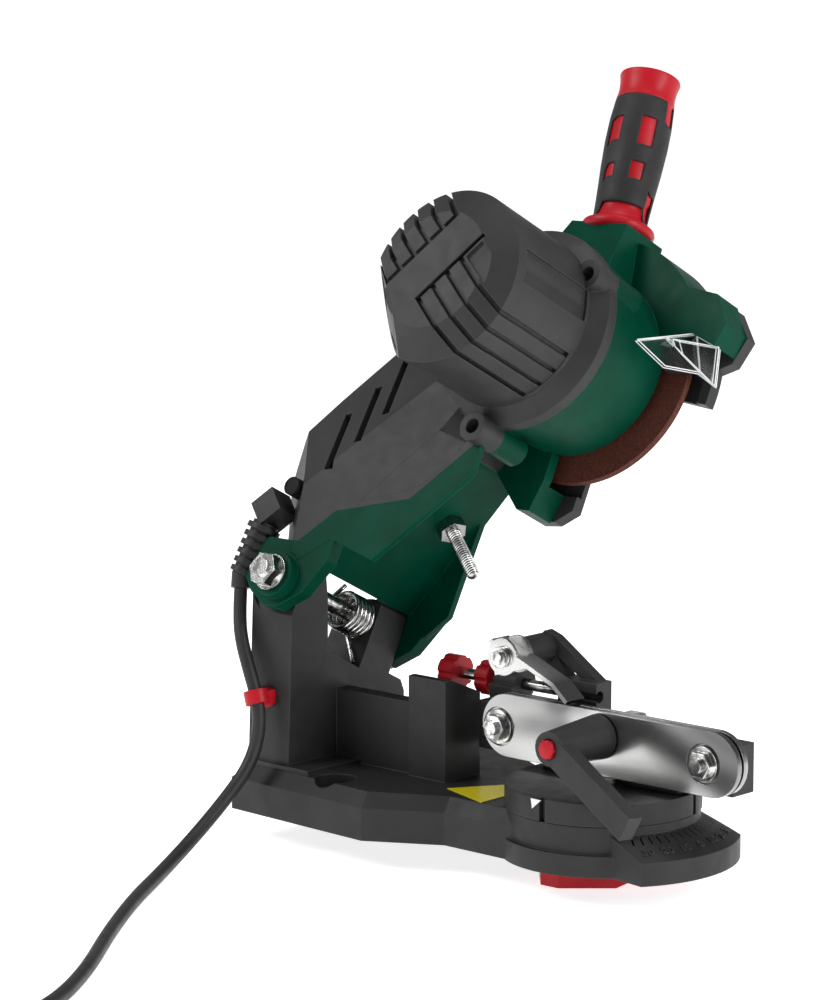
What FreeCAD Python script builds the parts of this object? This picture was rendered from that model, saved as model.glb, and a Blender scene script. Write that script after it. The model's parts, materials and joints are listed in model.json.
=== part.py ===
import FreeCAD, Part
import math
import os
from FreeCAD import Placement, Rotation, Vector

# Bench grinder for saw chain: a cast base with a tower, a tilting motor arm and a swivelling chain vise.
# Frame: origin midway between the two bench holes on the underside, +X towards the vise, +Z up.
# All lengths are in millimetres and all angles in degrees.

# Driving sizes
wheel_diameter = 100.0
wheel_width = 3.2
wheel_bore = 10.0
base_span = 100.0
tower_span = 100.0
arm_span = 100.0
vise_span = 100.0
cord_diameter = 6.0
arm_tilt = 27.0
overrun = 2.0
seat_gap = 0.3
running_gap = 0.05
fit_gap = 0.02

# Base casting: outlines are shares of base_span
plinth_shares = ((-0.53, -0.50), (0.28, -0.54), (0.59, -0.36), (1.00, -0.36),
                 (1.00, 0.36), (0.59, 0.36), (0.28, 0.54), (-0.53, 0.50))
plinth_top_shares = ((-0.47, -0.44), (0.26, -0.48), (0.58, -0.31), (1.00, -0.31),
                     (1.00, 0.31), (0.58, 0.31), (0.26, 0.48), (-0.47, 0.44))
rear_deck_shares = ((-0.47, -0.44), (-0.12, -0.45), (-0.12, 0.45), (-0.47, 0.44))
plinth_side = 14.0
deck_height = 20.0
rear_deck_rise = 2.0
bench_hole_spacing = 80.0
bench_hole_diameter = 8.5
bench_counterbore = 18.0
bench_seat_height = 12.0
drum_radius = 40.5
drum_band_radius = 42.7
drum_band_height = 9.0
drum_top = 20.5
drum_x = 1.15 * base_span
scale_radius = 57.0
scale_inner_height = 17.0
scale_edge_height = 9.5
scale_half_angle = 35.0
scale_root_angle = 47.5
tick_count = 15
tick_step = 5.0
tick_length = 5.0
tick_width = 0.8
tick_depth = 0.6
label_shares = ((0.48, -0.22), (0.75, -0.31), (0.75, 0.04), (0.66, 0.06))
label_thickness = 0.3

# Tower, web and stop block: outlines are shares of tower_span
tower_shares = ((-0.425, 0.19), (-0.39, 0.98), (-0.345, 1.023), (-0.257, 1.09), (-0.183, 1.045),
                (-0.171, 0.91), (-0.172, 0.69), (-0.065, 0.63), (0.025, 0.581), (0.17, 0.84),
                (0.20, 0.86), (0.291, 0.835), (0.344, 0.787), (0.265, 0.617), (0.265, 0.563),
                (0.317, 0.437), (0.32, 0.19))
tower_rear_share = -0.50
tower_front_share = -0.26
web_y_shares = (-0.12, -0.04)
web_top_share = 0.515
block_x_shares = (0.19, 0.40)
block_shares = ((-0.145, 0.19), (-0.145, 0.637), (-0.11, 0.64), (0.08, 0.561), (0.08, 0.19))
pivot_x_share = -0.33
pivot_z_share = 0.833
near_face = 0.37 * tower_span
far_face = 0.333 * tower_span
lobe_clear_radius = 18.6
spot_depth = 0.30 * tower_span
shaft_diameter = 8.0

# Arm: outlines are shares of arm_span, along the arm's own u and v directions
wheel_u_share = 0.876
wheel_v_share = 1.236
wheel_offset = 11.6
wall = 3.0
near_wall = 45.0
far_wall = 42.0
far_slope = 0.30
shell_split = 8.0
arm_direction = 48.0
beam_shares = ((0.065, 0.103), (0.601, 0.697), (0.75, 0.95), (0.75, 1.20), (0.55, 1.35), (0.20, 1.19),
               (0.138, 1.115), (-0.087, 0.858), (-0.245, 0.658), (-0.32, 0.55), (-0.34, 0.50),
               (-0.328, 0.435), (-0.20, 0.28), (-0.09, 0.14))
seam_shares = ((-0.50, 0.17), (0.04, 0.17), (0.199, 0.327), (0.584, 0.424), (0.829, 0.688), (0.864, 0.759),
               (0.90, 0.90), (0.90, 1.60), (-0.60, 1.60))
fold_shares = ((0.20, 0.652), (0.533, 0.97), (-0.087, 0.858))
rear_fold_shares = ((0.023, 0.097), (-0.024, 0.35), (-0.20, 0.28))
beam_core_share = (0.20, 0.70)
fold_drop = 12.0
rear_fold_drop = 16.0
near_skirt_shares = ((0.065, 0.084), (0.217, 0.201), (0.48, 0.136), (0.544, 0.206), (0.873, 0.567),
                     (0.873, 0.80), (0.60, 0.50), (0.20, 0.34), (0.0, 0.20))
far_skirt_shares = ((-0.02, -0.13), (0.333, 0.118), (0.418, 0.42), (0.487, 0.66), (0.547, 0.704),
                    (0.70, 0.90), (0.40, 0.95), (-0.10, 0.30), (-0.12, -0.02))
floor_level = 2.0
pivot_clear_radius = 11.8
tower_top_radius = 11.0
ear_shares = ((-0.20, -0.02), (-0.141, -0.08), (-0.045, -0.132), (0.032, -0.131), (0.147, -0.052),
              (0.234, 0.105), (0.24, 0.24), (-0.05, 0.26), (-0.18, 0.12))
ear_gap = 1.0
ear_thickness = 6.5
ear_boss_radius = 10.0
ear_boss_height = 5.0

# Grinding head: drum, shroud and cover around the wheel
drum_root_radius = 44.0
drum_nose_radius = 39.5
drum_root = 38.0
drum_nose = 5.0
guard_radius = 0.59 * wheel_diameter
guard_depth = 16.0
guard_rim = 5.0
guard_web = 5.0
cover_plate = 3.0
cover_rim = 3.0
window_angles = (-95.0, 21.0)
cover_window_angles = (-88.0, -6.0)
cover_lug_shares = ((-0.30, -0.40), (-0.26, -0.53), (-0.10, -0.67), (-0.01, -0.66), (0.07, -0.60), (0.07, -0.45))
cover_side_shares = ((0.42, 0.10), (0.56, 0.08), (0.66, 0.13), (0.70, 0.25), (0.60, 0.37), (0.44, 0.39))
cover_screw_shares = ((-0.13, -0.60), (0.56, 0.28), (-0.40, 0.40))
cover_tab_angles = (5.0, 22.0)
cover_tab_depths = (-8.4, -5.4)
cover_tab_inner = 41.0
lower_lug_shares = ((-0.30, -0.40), (-0.26, -0.53), (-0.10, -0.67), (-0.03, -0.67), (0.0, -0.52), (0.0, -0.40))
upper_lug_shares = ((0.40, 0.20), (0.519, 0.202), (0.664, 0.152), (0.69, 0.25), (0.60, 0.38), (0.44, 0.40))
socket_foot = (-27.0, 14.0, 34.0)
socket_top = (-22.5, 8.5, 63.0)
socket_foot_depths = (-14.0, 20.0)
socket_top_depths = (-18.0, 9.0)
shield_side_shares = ((0.519, 0.202), (0.664, 0.152), (0.704, -0.018), (0.599, 0.032))
shield_lid_shares = ((0.444, 0.058), (0.519, 0.202), (0.599, 0.032), (0.544, -0.003))
shield_lid_depths = (23.0, -4.0, -4.0, 12.0)
shield_brow_shares = ((0.475, 0.13), (0.664, 0.152), (0.704, -0.018))
shield_brow_depths = (8.0, -4.0, -4.0)
shield_depth = -5.0
shield_thickness = 1.6

# Motor housing
pot_radius = 36.0
pot_end = 103.0
pot_shoulder = 87.0
pot_face_radius = 24.0
flange_radius = 44.5
flange_thickness = 5.0
flange_blend = 8.0
band_angle = 51.0
band_half_width = 8.4
band_offset = 4.0
bar_width = 6.2
bar_pitch = 8.2
rib_height = 1.8
rib_end = 50.0
panel_angle = 30.0
panel_width = 24.0
panel_depth = 1.6
panel_ends = (54.0, 84.0)
screw_boss_radius = 6.5
screw_head_radius = 3.0
screw_head_height = 2.2
screw_shank_radius = 1.75
screw_boss_top = 52.0
screw_seat = 43.0
screw_depth = 17.0
screw_boss_places = ((0.328, 0.23), (-0.02, -0.48), (-0.385, 0.14))
arm_screw_share = (-0.094, 0.406)
vent_starts = ((0.075, 0.505), (0.185, 0.645), (0.275, 0.79))
vent_lean = 102.0
vent_drop = 8.0
vent_width = 4.6
vent_length = 30.0
vent_depth = 9.0

# Motor inside
motor_shaft_diameter = 10.0
bearing_diameter = 26.0
bearing_width = 8.0
rotor_radius = 19.0
rotor_length = 26.0
stator_length = 28.0
air_gap = 0.7
rotor_start = 40.0
rotor_slots = 12
rotor_slot_radius = 1.4
bearing_seat = 3.0
bearing_pocket_wall = 3.0
plate_windows = 4
plate_window_radius = 6.0
plate_window_angle = 45.0
brush_angle = 0.0
fan_start = 20.0
fan_plate = 1.5
fan_height = 10.0
wheel_flange_radius = 16.0
wheel_flange_thickness = 2.0
spindle_nut_flats = 15.0
spindle_nut_height = 3.5
commutator_radius = 11.0
commutator_length = 12.0
brush_size = 5.0
brush_length = 10.0
fan_radius = 30.0
fan_blades = 9

# Handle
handle_lean = 97.0
handle_length = 76.0
handle_flange_radius = 15.0
handle_flange_height = 4.0
handle_neck_radius = 10.5
grip_radius = 12.5
grip_start = 17.0
grip_length = 47.0
cap_radius = 12.0
core_radius = 9.6
window_width = 9.0
window_height = 9.0
window_levels = (0.16, 0.60)
window_turns = (-90.0, 0.0, 90.0, 180.0)
stud_diameter = 8.0
stud_reach = 40.0

# Depth screw
depth_screw_diameter = 6.0
depth_screw_length = 62.0
depth_tip_shares = (0.63, 0.25)
depth_screw_angle = -42.6
depth_screw_offset = 5.0
depth_boss_radius = 7.0
depth_boss_length = 12.0
lock_nut_flats = 11.0
lock_nut_height = 5.0

# Spring on the pivot shaft
spring_wire = 2.0
spring_mean_radius = 8.4
spring_arcs = 21
spring_first_angle = 138.0
spring_last_angle = 216.9
spring_turns = 5
spring_near_end = 2.0
spring_far_end = -12.0
spring_upper_leg = 7.0
spring_lower_leg = 18.5

# Vise: outlines are shares of vise_span
table_radius = 41.0
table_height = 9.3
table_gap = 0.3
saddle_x_shares = (0.80, 1.52)
saddle_y_shares = (-0.13, 0.20)
rail_x_shares = (0.52, 1.875)
rail_z_shares = (0.335, 0.605)
rail_front_share = -0.04
rail_thickness = 2.6
chain_gap = 1.5
bar_x_shares = (0.44, 1.80)
bar_z_shares = (0.334, 0.54)
bar_back_share = 0.165
rail_bolt_shares = ((0.61, 0.46), (1.70, 0.468))
rail_bolt_diameter = 6.0
rail_cup_radius = 8.3
rail_cup_depth = 1.4
cup_gap = 0.9
rail_bolt_flats = 10.0
rail_bolt_stand = 5.0
lever_x_share = 1.16
lever_z_share = 0.50
lever_front_share = -0.38
lever_hub_radius = 7.2
lever_base_radius = 9.5
lever_arm_length = 53.0
lever_arm_angle = -27.5
lever_arm_lean = 9.0
lever_arm_width = 11.0
lever_arm_thickness = 7.0
button_radius = 4.2
button_length = 6.0
button_stand = 1.6
clamp_stud_diameter = 8.0
feed_y_share = 0.19
feed_z_share = 0.60
feed_screw_diameter = 5.0
feed_screw_x_shares = (0.20, 0.80)
feed_knob_shares = (0.12, 0.20)
lock_knob_shares = (0.33, 0.40)
feed_boss_shares = (0.44, 0.56)
knob_radius = 7.5
boss_radius = 7.0
carriage_x_shares = (0.76, 0.97)
carriage_y_shares = (0.169, 0.27)
carriage_z_shares = (0.55, 0.66)
pawl_x_share = 0.64
pawl_z_share = 0.765
pawl_pin_diameter = 6.0
pawl_boss_radius = 6.5
pawl_front_share = -0.055
pawl_width = 11.0
pawl_sheet = 1.5
pawl_head_radius = 8.0
pawl_strip_shares = ((0.58, 0.835), (0.925, 0.69), (1.00, 0.625))
bracket_shares = ((0.60, 0.80), (0.64, 0.84), (0.70, 0.82), (0.97, 0.64), (0.97, 0.57), (0.78, 0.57), (0.58, 0.745))
bracket_window_shares = ((0.70, 0.745), (0.86, 0.65), (0.78, 0.65))
bracket_thickness = 5.0
notch_angles = (-88.0, 15.0)
notch_depth = 3.0
notch_width = 3.0
bolt_slack = 0.6
nut_reach = 7.0
clamp_nut_flats = 13.0
jaw_travel_gap = 0.8
button_travel = 2.5
knob_flutes = 6
knob_flute_radius = 1.6
vise_margin_share = 0.02
pin_head_height = 2.0
pawl_cheek_shares = ((0.58, 0.82), (0.60, 0.68), (0.78, 0.735), (0.74, 0.765))
bolt_head_height = 3.0
lock_handle_angle = 42.5
lock_handle_bend = 5.0
handle_tip_drop = 4.0
handle_drop = 12.0
lock_handle_length = 52.0
lock_handle_width = 26.0
lock_handle_nose = 14.0
table_bolt_diameter = 8.0

# Mains cord: route points chosen by hand, then a two-layer coil and a flat two-pin plug
cord_route = ((-51.4, -45.3, 75.4), (-44.6, -47.4, 63.0), (-38.8, -48.2, 51.2),
              (-36.0, -49.5, 40.3), (-35.6, -52.6, 29.8), (-35.8, -58.5, 20.6), (-37.0, -67.9, 11.5),
              (-37.5, -80.6, 1.8), (-33.6, -99.8, -6.8), (-18.5, -128.2, -9.5), (1.0, -160.0, -9.5),
              (29.0, -199.5, -9.5), (61.0, -240.5, -9.5), (84.0, -278.0, -9.5), (94.0, -316.0, -9.5),
              (95.0, -354.0, -9.5))
cord_arc_share = 0.45
cord_first_run = 10.0
coil_outer = 45.0
coil_step = 6.6
coil_turns = 7
coil_lift = 6.5
coil_tail = 26.0
plug_length = 36.0
plug_width = 26.0
plug_height = 13.0
plug_drop = 9.5
plug_nose = 10.0
pin_diameter = 4.0
pin_spacing = 18.6
pin_length = 19.0
pin_root = 8.0

# Strain relief, switch and clip
relief_offset = 42.0
relief_block_share = (-0.184, 0.295)
relief_top_share = (-0.205, 0.23)
relief_end_share = (-0.25, -0.01)
relief_collar_share = (-0.241, -0.068)
relief_collar_offset = 40.7
relief_block = 12.5
relief_block_angle = 45.0
relief_radii = (5.8, 4.4)
relief_rib_radii = (7.6, 5.6)
relief_ribs = 6
relief_rib_share = 0.4
relief_rib_width = 2.4
clip_shares = (-0.385, -0.405, 0.502)
clip_index = 2
clip_wall = 2.0
clip_height = 6.0
clip_foot = 9.0
switch_places = ((-0.245, 0.658), (-0.087, 0.858))
switch_level = 10.0
switch_size = (14.0, 20.0)
switch_lip = 1.5
switch_depth = 9.0
rocker_size = (8.0, 14.0)
rocker_rise = 2.5
rocker_pin_radius = 0.8
rocker_pin_reach = 1.2
rocker_pin_level = 0.2


# Shape helpers

def box(low, high):
    size = [b - a for a, b in zip(low, high)]
    return Part.makeBox(size[0], size[1], size[2], Vector(*low))


def scaled(shares, size):
    return [(a * size, b * size) for a, b in shares]


def face_of(corners):
    return Part.Face(Part.makePolygon(corners + corners[:1]))


def upright(points, low, high):
    return face_of([Vector(x, y, low) for x, y in points]).extrude(Vector(0, 0, high - low))


def across_x(points, low, high):
    return face_of([Vector(low, y, z) for y, z in points]).extrude(Vector(high - low, 0, 0))


def across_y(points, low, high):
    return face_of([Vector(x, low, z) for x, z in points]).extrude(Vector(0, high - low, 0))


def rod(radius, start, end):
    way = end - start
    return Part.makeCylinder(radius, way.Length, start, way)


def taper(radius_a, radius_b, start, end):
    way = end - start
    return Part.makeCone(radius_a, radius_b, way.Length, start, way)


def hexagon(flats, start, end):
    corner = flats / math.sqrt(3)
    points = []
    for k in range(6):
        points.append((corner * math.cos(math.radians(60 * k)), corner * math.sin(math.radians(60 * k))))
    way = end - start
    solid = upright(points, 0, way.Length)
    solid.Placement = Placement(start, Rotation(Vector(0, 0, 1), way))
    return solid


def turned(shape, centre, axis, angle):
    copy = shape.copy()
    copy.rotate(centre, axis, angle)
    return copy


def joined(first, *others):
    return first.fuse(list(others)).removeSplitter()


def polar(radius, angle):
    return radius * math.cos(math.radians(angle)), radius * math.sin(math.radians(angle))


def save(node, *solids):
    shape = solids[0] if len(solids) == 1 else Part.makeCompound(list(solids))
    shape.exportStep("parts/" + node + ".step")
    print(node, len(shape.Solids), round(shape.Volume, 1), shape.isValid())


# Places that several pieces share

pivot = Vector(pivot_x_share * tower_span, 0, pivot_z_share * tower_span)
arm_place = Placement(pivot, Rotation(Vector(1, 0, 0), 90 - arm_tilt))
wheel_u = wheel_u_share * arm_span
wheel_v = wheel_v_share * arm_span


def on_arm(shape):
    copy = shape.copy()
    copy.Placement = arm_place.multiply(copy.Placement)
    return copy


def head(u, v, h):
    return Vector(wheel_u + u, wheel_v + v, h)


def spot(h):
    return Vector(0, 0, h)


# Base casting

def scale_fan():
    centre = Vector(drum_x, 0, 0)
    arc = []
    for angle in (-scale_half_angle, 0, scale_half_angle):
        x, y = polar(scale_radius, angle)
        arc.append(centre + Vector(x, y, 0))
    root_x, root_y = polar(drum_radius, scale_root_angle)
    roots = [centre + Vector(root_x, root_y, 0), centre, centre + Vector(root_x, -root_y, 0)]
    edges = [Part.Arc(*arc).toShape(), Part.LineSegment(arc[2], roots[0]).toShape(),
             Part.LineSegment(roots[0], roots[1]).toShape(), Part.LineSegment(roots[1], roots[2]).toShape(),
             Part.LineSegment(roots[2], arc[0]).toShape()]
    fan = Part.Face(Part.Wire(edges)).extrude(Vector(0, 0, scale_inner_height))
    edge = centre + Vector(0, 0, scale_edge_height)
    top = centre + Vector(0, 0, scale_inner_height)
    below = joined(rod(scale_radius + overrun, centre, edge), taper(scale_radius, drum_radius, edge, top))
    fan = fan.common(below)
    for k in range(tick_count):
        fan = fan.cut(scale_tick(k))
    return fan


def scale_tick(k):
    slope = (scale_inner_height - scale_edge_height) / (scale_radius - drum_radius)
    start = drum_radius + tick_width
    low = scale_inner_height - slope * (start + tick_length - drum_radius) - tick_depth
    x = drum_x + start
    tick = box((x, -tick_width / 2, low), (x + tick_length, tick_width / 2, scale_inner_height + overrun))
    angle = tick_step * (k - (tick_count - 1) / 2)
    return turned(tick, Vector(drum_x, 0, 0), Vector(0, 0, 1), angle)


def plinth():
    foot = upright(scaled(plinth_shares, base_span), 0, plinth_side)
    lower = Part.makePolygon([Vector(x, y, plinth_side) for x, y in scaled(plinth_shares, base_span)]
                             + [Vector(*scaled(plinth_shares, base_span)[0], plinth_side)])
    upper = Part.makePolygon([Vector(x, y, deck_height) for x, y in scaled(plinth_top_shares, base_span)]
                             + [Vector(*scaled(plinth_top_shares, base_span)[0], deck_height)])
    bevel = Part.makeLoft([lower, upper], True, True)
    rear = upright(scaled(rear_deck_shares, base_span), plinth_side, deck_height + rear_deck_rise)
    return joined(foot, bevel, rear)


def drum():
    centre = Vector(drum_x, 0, 0)
    band = rod(drum_band_radius, centre, centre + Vector(0, 0, drum_band_height))
    return joined(band, rod(drum_radius, centre, centre + Vector(0, 0, drum_top)))


def tower():
    rear = tower_rear_share * tower_span
    front = tower_front_share * tower_span
    body = across_x(scaled(tower_shares, tower_span), rear, front)
    low = Vector(0, 0, -far_face)
    high = Vector(0, 0, near_face)
    lobes = [on_arm(rod(lobe_clear_radius, high, high + spot(spot_depth))),
             on_arm(rod(lobe_clear_radius, low - spot(spot_depth), low))]
    for lobe in lobes:
        body = body.cut(lobe)
    depth = spot_depth + near_face
    above = box((-spot_depth, 0, -depth), (spot_depth, spot_depth, depth))
    above = above.cut(rod(tower_top_radius, spot(-depth - overrun), spot(depth + overrun)))
    return body.cut(on_arm(above))


def base_casting():
    web = box((tower_front_share * tower_span - wall, web_y_shares[0] * tower_span, deck_height - wall),
              (block_x_shares[0] * tower_span + wall, web_y_shares[1] * tower_span, web_top_share * tower_span))
    block = across_x(scaled(block_shares, tower_span), block_x_shares[0] * tower_span,
                     block_x_shares[1] * tower_span)
    body = joined(plinth(), drum(), scale_fan(), tower(), web, block)
    for side in (-1, 1):
        hole = Vector(0, side * bench_hole_spacing / 2, 0)
        body = body.cut(rod(bench_hole_diameter / 2, hole - Vector(0, 0, overrun),
                            hole + Vector(0, 0, deck_height + overrun)))
        body = body.cut(rod(bench_counterbore / 2, hole + Vector(0, 0, bench_seat_height),
                            hole + Vector(0, 0, deck_height + overrun)))
    centre = Vector(drum_x, 0, 0)
    body = body.cut(rod(table_bolt_diameter / 2 + running_gap, centre - Vector(0, 0, overrun),
                        centre + Vector(0, 0, drum_top + overrun)))
    shaft = on_arm(rod(shaft_diameter / 2 + fit_gap, spot(-far_face - overrun), spot(near_face + overrun)))
    return body.cut(shaft)


def base_label():
    outline = scaled(label_shares, base_span)
    label = upright(outline, deck_height, deck_height + label_thickness)
    centre = Vector(drum_x, 0, 0)
    return label.cut(rod(table_radius + running_gap, centre, centre + Vector(0, 0, deck_height + overrun)))


# Pivot

ear_inner = near_face + ear_gap
ear_outer = ear_inner + ear_thickness
far_inner = far_face + ear_gap
far_outer = far_inner + ear_thickness
nut_seat = ear_outer + ear_boss_height
washer_thickness = 1.6
washer_share = 0.62
pivot_nut_flats = 13.0
pivot_nut_height = 7.0
pivot_head_height = 5.5


def pivot_bolt():
    shank = rod(shaft_diameter / 2, spot(-far_outer - seat_gap), spot(nut_seat + washer_thickness + pivot_nut_height))
    head_low = -far_outer - seat_gap - pivot_head_height
    return on_arm(joined(shank, hexagon(pivot_nut_flats, spot(head_low), spot(-far_outer - seat_gap))))


def pivot_nut():
    start = nut_seat + seat_gap
    washer = rod(washer_share * pivot_nut_flats, spot(start), spot(start + washer_thickness))
    nut = hexagon(pivot_nut_flats, spot(start + washer_thickness), spot(start + pivot_nut_height))
    bore = rod(shaft_diameter / 2 + fit_gap, spot(start - overrun), spot(nut_seat + pivot_nut_height + overrun))
    return on_arm(joined(washer, nut).cut(bore))


# Torsion spring: one tube of quarter-turn arcs with a straight leg at each end

def spring_point(share):
    sweep = spring_last_angle + 360 * spring_turns - spring_first_angle
    x, y = polar(spring_mean_radius, spring_first_angle + sweep * share)
    return Vector(x, y, spring_near_end + (spring_far_end - spring_near_end) * share)


def torsion_spring():
    x, y = polar(spring_upper_leg, spring_first_angle - 90)
    first_leg = spring_point(0) + Vector(x, y, 0)
    x, y = polar(spring_lower_leg, spring_last_angle + 90)
    last_leg = spring_point(1) + Vector(x, y, 0)
    edges = [Part.LineSegment(first_leg, spring_point(0)).toShape()] + wound_edges(spring_point, spring_arcs)
    edges.append(Part.LineSegment(spring_point(1), last_leg).toShape())
    print("spring: least gap between turns", round(least_gap(spring_point, spring_turns, spring_wire), 2),
          "mm, arc radius", spring_mean_radius, "mm")
    return on_arm(swept(Part.Wire(edges), spring_wire, first_leg, spring_point(0) - first_leg))


# Arm shells

def outside_of(a, b, c, inset):
    way = (b - a).cross(c - a)
    way.normalize()
    core = arm_point(beam_core_share, 0)
    if way.dot(core - a) > 0:
        way = way * -1
    reach = 5 * arm_span
    block = box((-reach, -reach, 0), (reach, reach, reach))
    block.Placement = Placement(a - way * inset, Rotation(Vector(0, 0, 1), way))
    return block


def arm_point(shares, h):
    return Vector(shares[0] * arm_span, shares[1] * arm_span, h)


def beyond_far_wall(inset):
    x, y = polar(arm_span, arm_direction)
    start = Vector(0, 0, -far_wall)
    along = Vector(x, y, far_slope * arm_span - far_wall)
    across = start + Vector(y, -x, 0)
    return outside_of(start, across, along, inset)


def above_fold(inset):
    a = arm_point(fold_shares[0], near_wall)
    b = arm_point(fold_shares[1], near_wall)
    c = arm_point(fold_shares[2], near_wall - fold_drop)
    return outside_of(a, b, c, inset)


def behind_fold(inset):
    a = arm_point(rear_fold_shares[0], near_wall)
    b = arm_point(rear_fold_shares[1], near_wall)
    c = arm_point(rear_fold_shares[2], near_wall - rear_fold_drop)
    return outside_of(a, b, c, inset)


def beam(inset):
    outline = face_of([arm_point(pair, -far_wall - overrun) for pair in beam_shares])
    if inset > 0:
        outline = Part.Face(outline.OuterWire.makeOffset2D(-inset))
    height = near_wall + far_wall + overrun - inset
    solid = outline.extrude(Vector(0, 0, height))
    for cutter in (beyond_far_wall(inset), above_fold(inset), behind_fold(inset)):
        solid = solid.cut(cutter)
    return solid


def black_side(low, high):
    return upright(scaled(seam_shares, arm_span), low, high).cut(floor_strip())


def floor_strip():
    low, high = [arm_point(pair, -far_wall - overrun) for pair in beam_shares[:2]]
    along = Vector(high - low).normalize() * overrun
    inward = Vector(-along.y, along.x, 0) * ((wall + overrun) / overrun)
    corners = [low - along - inward, high + along - inward, high + along + inward, low - along + inward]
    return face_of(corners).extrude(Vector(0, 0, near_wall - wall + far_wall + overrun))


# Grinding head

def sector(angles, radius, low, high):
    points = [(wheel_u, wheel_v)]
    steps = 4
    for k in range(steps + 1):
        x, y = polar(radius, angles[0] + (angles[1] - angles[0]) * k / steps)
        points.append((wheel_u + x, wheel_v + y))
    return upright(points, low, high)


def head_prism(shares, low, high):
    points = [(wheel_u + a, wheel_v + b) for a, b in scaled(shares, wheel_diameter)]
    return upright(points, low, high)


def disc(radius, low, high):
    return rod(radius, head(0, 0, low), head(0, 0, high))


def drum_solid(inset):
    nose = head(0, 0, inset - drum_nose)
    return taper(drum_root_radius - inset, drum_nose_radius - inset, head(0, 0, drum_root), nose)


def handle_socket():
    sections = []
    for (left, right, level), (low, high) in ((socket_foot, socket_foot_depths), (socket_top, socket_top_depths)):
        corners = [head(left, level, low), head(right, level, low), head(right, level, high), head(left, level, high)]
        sections.append(Part.makePolygon(corners + corners[:1]))
    return Part.makeLoft(sections, True, True)


def guard_solid():
    ring = disc(guard_radius, -guard_depth, 0).cut(sector(window_angles, wheel_diameter, -guard_depth, 0))
    lugs = [head_prism(shares, -guard_depth, 0) for shares in (lower_lug_shares, upper_lug_shares)]
    return joined(ring, *lugs)


def wheel_space():
    return disc(guard_radius - guard_rim, -guard_depth - cover_rim, -guard_web)


def screw_places():
    places = [head(a * wheel_diameter, b * wheel_diameter, 0) for a, b in screw_boss_places]
    return places


def green_outer():
    bosses = [rod(screw_boss_radius, place + spot(drum_root - screw_depth), place + spot(drum_root))
              for place in screw_places()]
    return joined(drum_solid(0), guard_solid(), handle_socket(), *bosses)


def skirt_near():
    return upright(scaled(near_skirt_shares, arm_span), near_wall - wall, near_wall)


def skirt_far():
    plate = upright(scaled(far_skirt_shares, arm_span), -far_wall - overrun, 0).cut(beyond_far_wall(0))
    inner = upright(scaled(far_skirt_shares, arm_span), -far_wall - overrun, 0).cut(beyond_far_wall(wall))
    return plate.cut(inner)


def ears():
    outline = scaled(ear_shares, arm_span)
    near_ear = upright(outline, ear_inner, ear_outer).cut(black_side(0, near_wall + overrun))
    near_boss = rod(ear_boss_radius, spot(ear_inner), spot(nut_seat))
    far_ear = upright(outline, -far_outer, -far_inner)
    return near_ear, near_boss, far_ear


def motor_space():
    hollow = drum_solid(wall)
    pot = joined(disc(pot_radius - wall, drum_root - flange_thickness, pot_shoulder),
                 taper(pot_radius - wall, pot_face_radius - wall, head(0, 0, pot_shoulder),
                       head(0, 0, pot_end - wall)))
    return hollow, pot


def pivot_space():
    return rod(pivot_clear_radius, spot(-far_inner), spot(ear_inner))


def screw_axes():
    return screw_places() + [arm_point(arm_screw_share, 0)]


def shank_holes(body):
    for place in screw_axes():
        shank = rod(screw_shank_radius + fit_gap, place + spot(screw_seat - screw_depth - fit_gap),
                    place + spot(screw_seat + overrun))
        body = body.cut(shank)
    return body


def arm_body():
    below = beam(0).cut(black_side(-shell_split, near_wall + overrun))
    near_skirt = skirt_near().cut(black_side(0, near_wall + overrun))
    body = joined(below, green_outer(), near_skirt, skirt_far(), *ears()).cut(black_bosses())
    hollow, pot = motor_space()
    for space in (beam(wall), hollow, pot, wheel_space(), pivot_space()):
        body = body.cut(space)
    pocket = disc(bearing_diameter / 2 + bearing_pocket_wall, -drum_nose + wall / 2, bearing_seat + bearing_width)
    body = joined(body, pocket)
    body = body.cut(disc(bearing_diameter / 2 + fit_gap, bearing_seat, bearing_seat + bearing_width + overrun))
    body = body.cut(disc(shaft_radius + running_gap + wall, -drum_nose - overrun, bearing_seat + overrun))
    body = body.cut(rod(stud_diameter / 2 + fit_gap, along_handle(-stud_reach / 2), along_handle(overrun)))
    seat = depth_seat()
    way = depth_axis()[1]
    body = joined(body, rod(depth_boss_radius, seat + way * wall / 2, seat + way * depth_boss_length))
    body = body.cut(rod(depth_screw_diameter / 2 + running_gap, seat - way * wall, seat + way * 2 * depth_boss_length))
    for space in (pivot_holes(), pot_solid(0)):
        body = body.cut(space)
    for place in cover_screw_places():
        body = body.cut(rod(screw_shank_radius + fit_gap, place + spot(-guard_depth - overrun), place + spot(-guard_web)))
    return shank_holes(body)


def pivot_holes():
    shaft = rod(shaft_diameter / 2 + running_gap, spot(-far_outer - overrun), spot(nut_seat + overrun))
    recess = rod(ear_boss_radius, spot(-far_wall - overrun), spot(-far_outer))
    return joined(shaft, recess)


def pot_solid(grow):
    radius = pot_radius + grow
    end = head(0, 0, pot_end + grow)
    flange = disc(flange_radius, drum_root, drum_root + flange_thickness)
    blend = taper(flange_radius, radius, head(0, 0, drum_root + flange_thickness),
                  head(0, 0, drum_root + flange_thickness + flange_blend))
    return joined(flange, blend, disc(radius, drum_root, pot_shoulder),
                  taper(radius, pot_face_radius + grow, head(0, 0, pot_shoulder), end))


def slab(along, half, low, high, across):
    block = box((along - half, across[0], low), (along + half, across[1], high))
    block.Placement = Placement(head(0, 0, 0), Rotation(Vector(0, 0, 1), band_angle))
    return block


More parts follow.
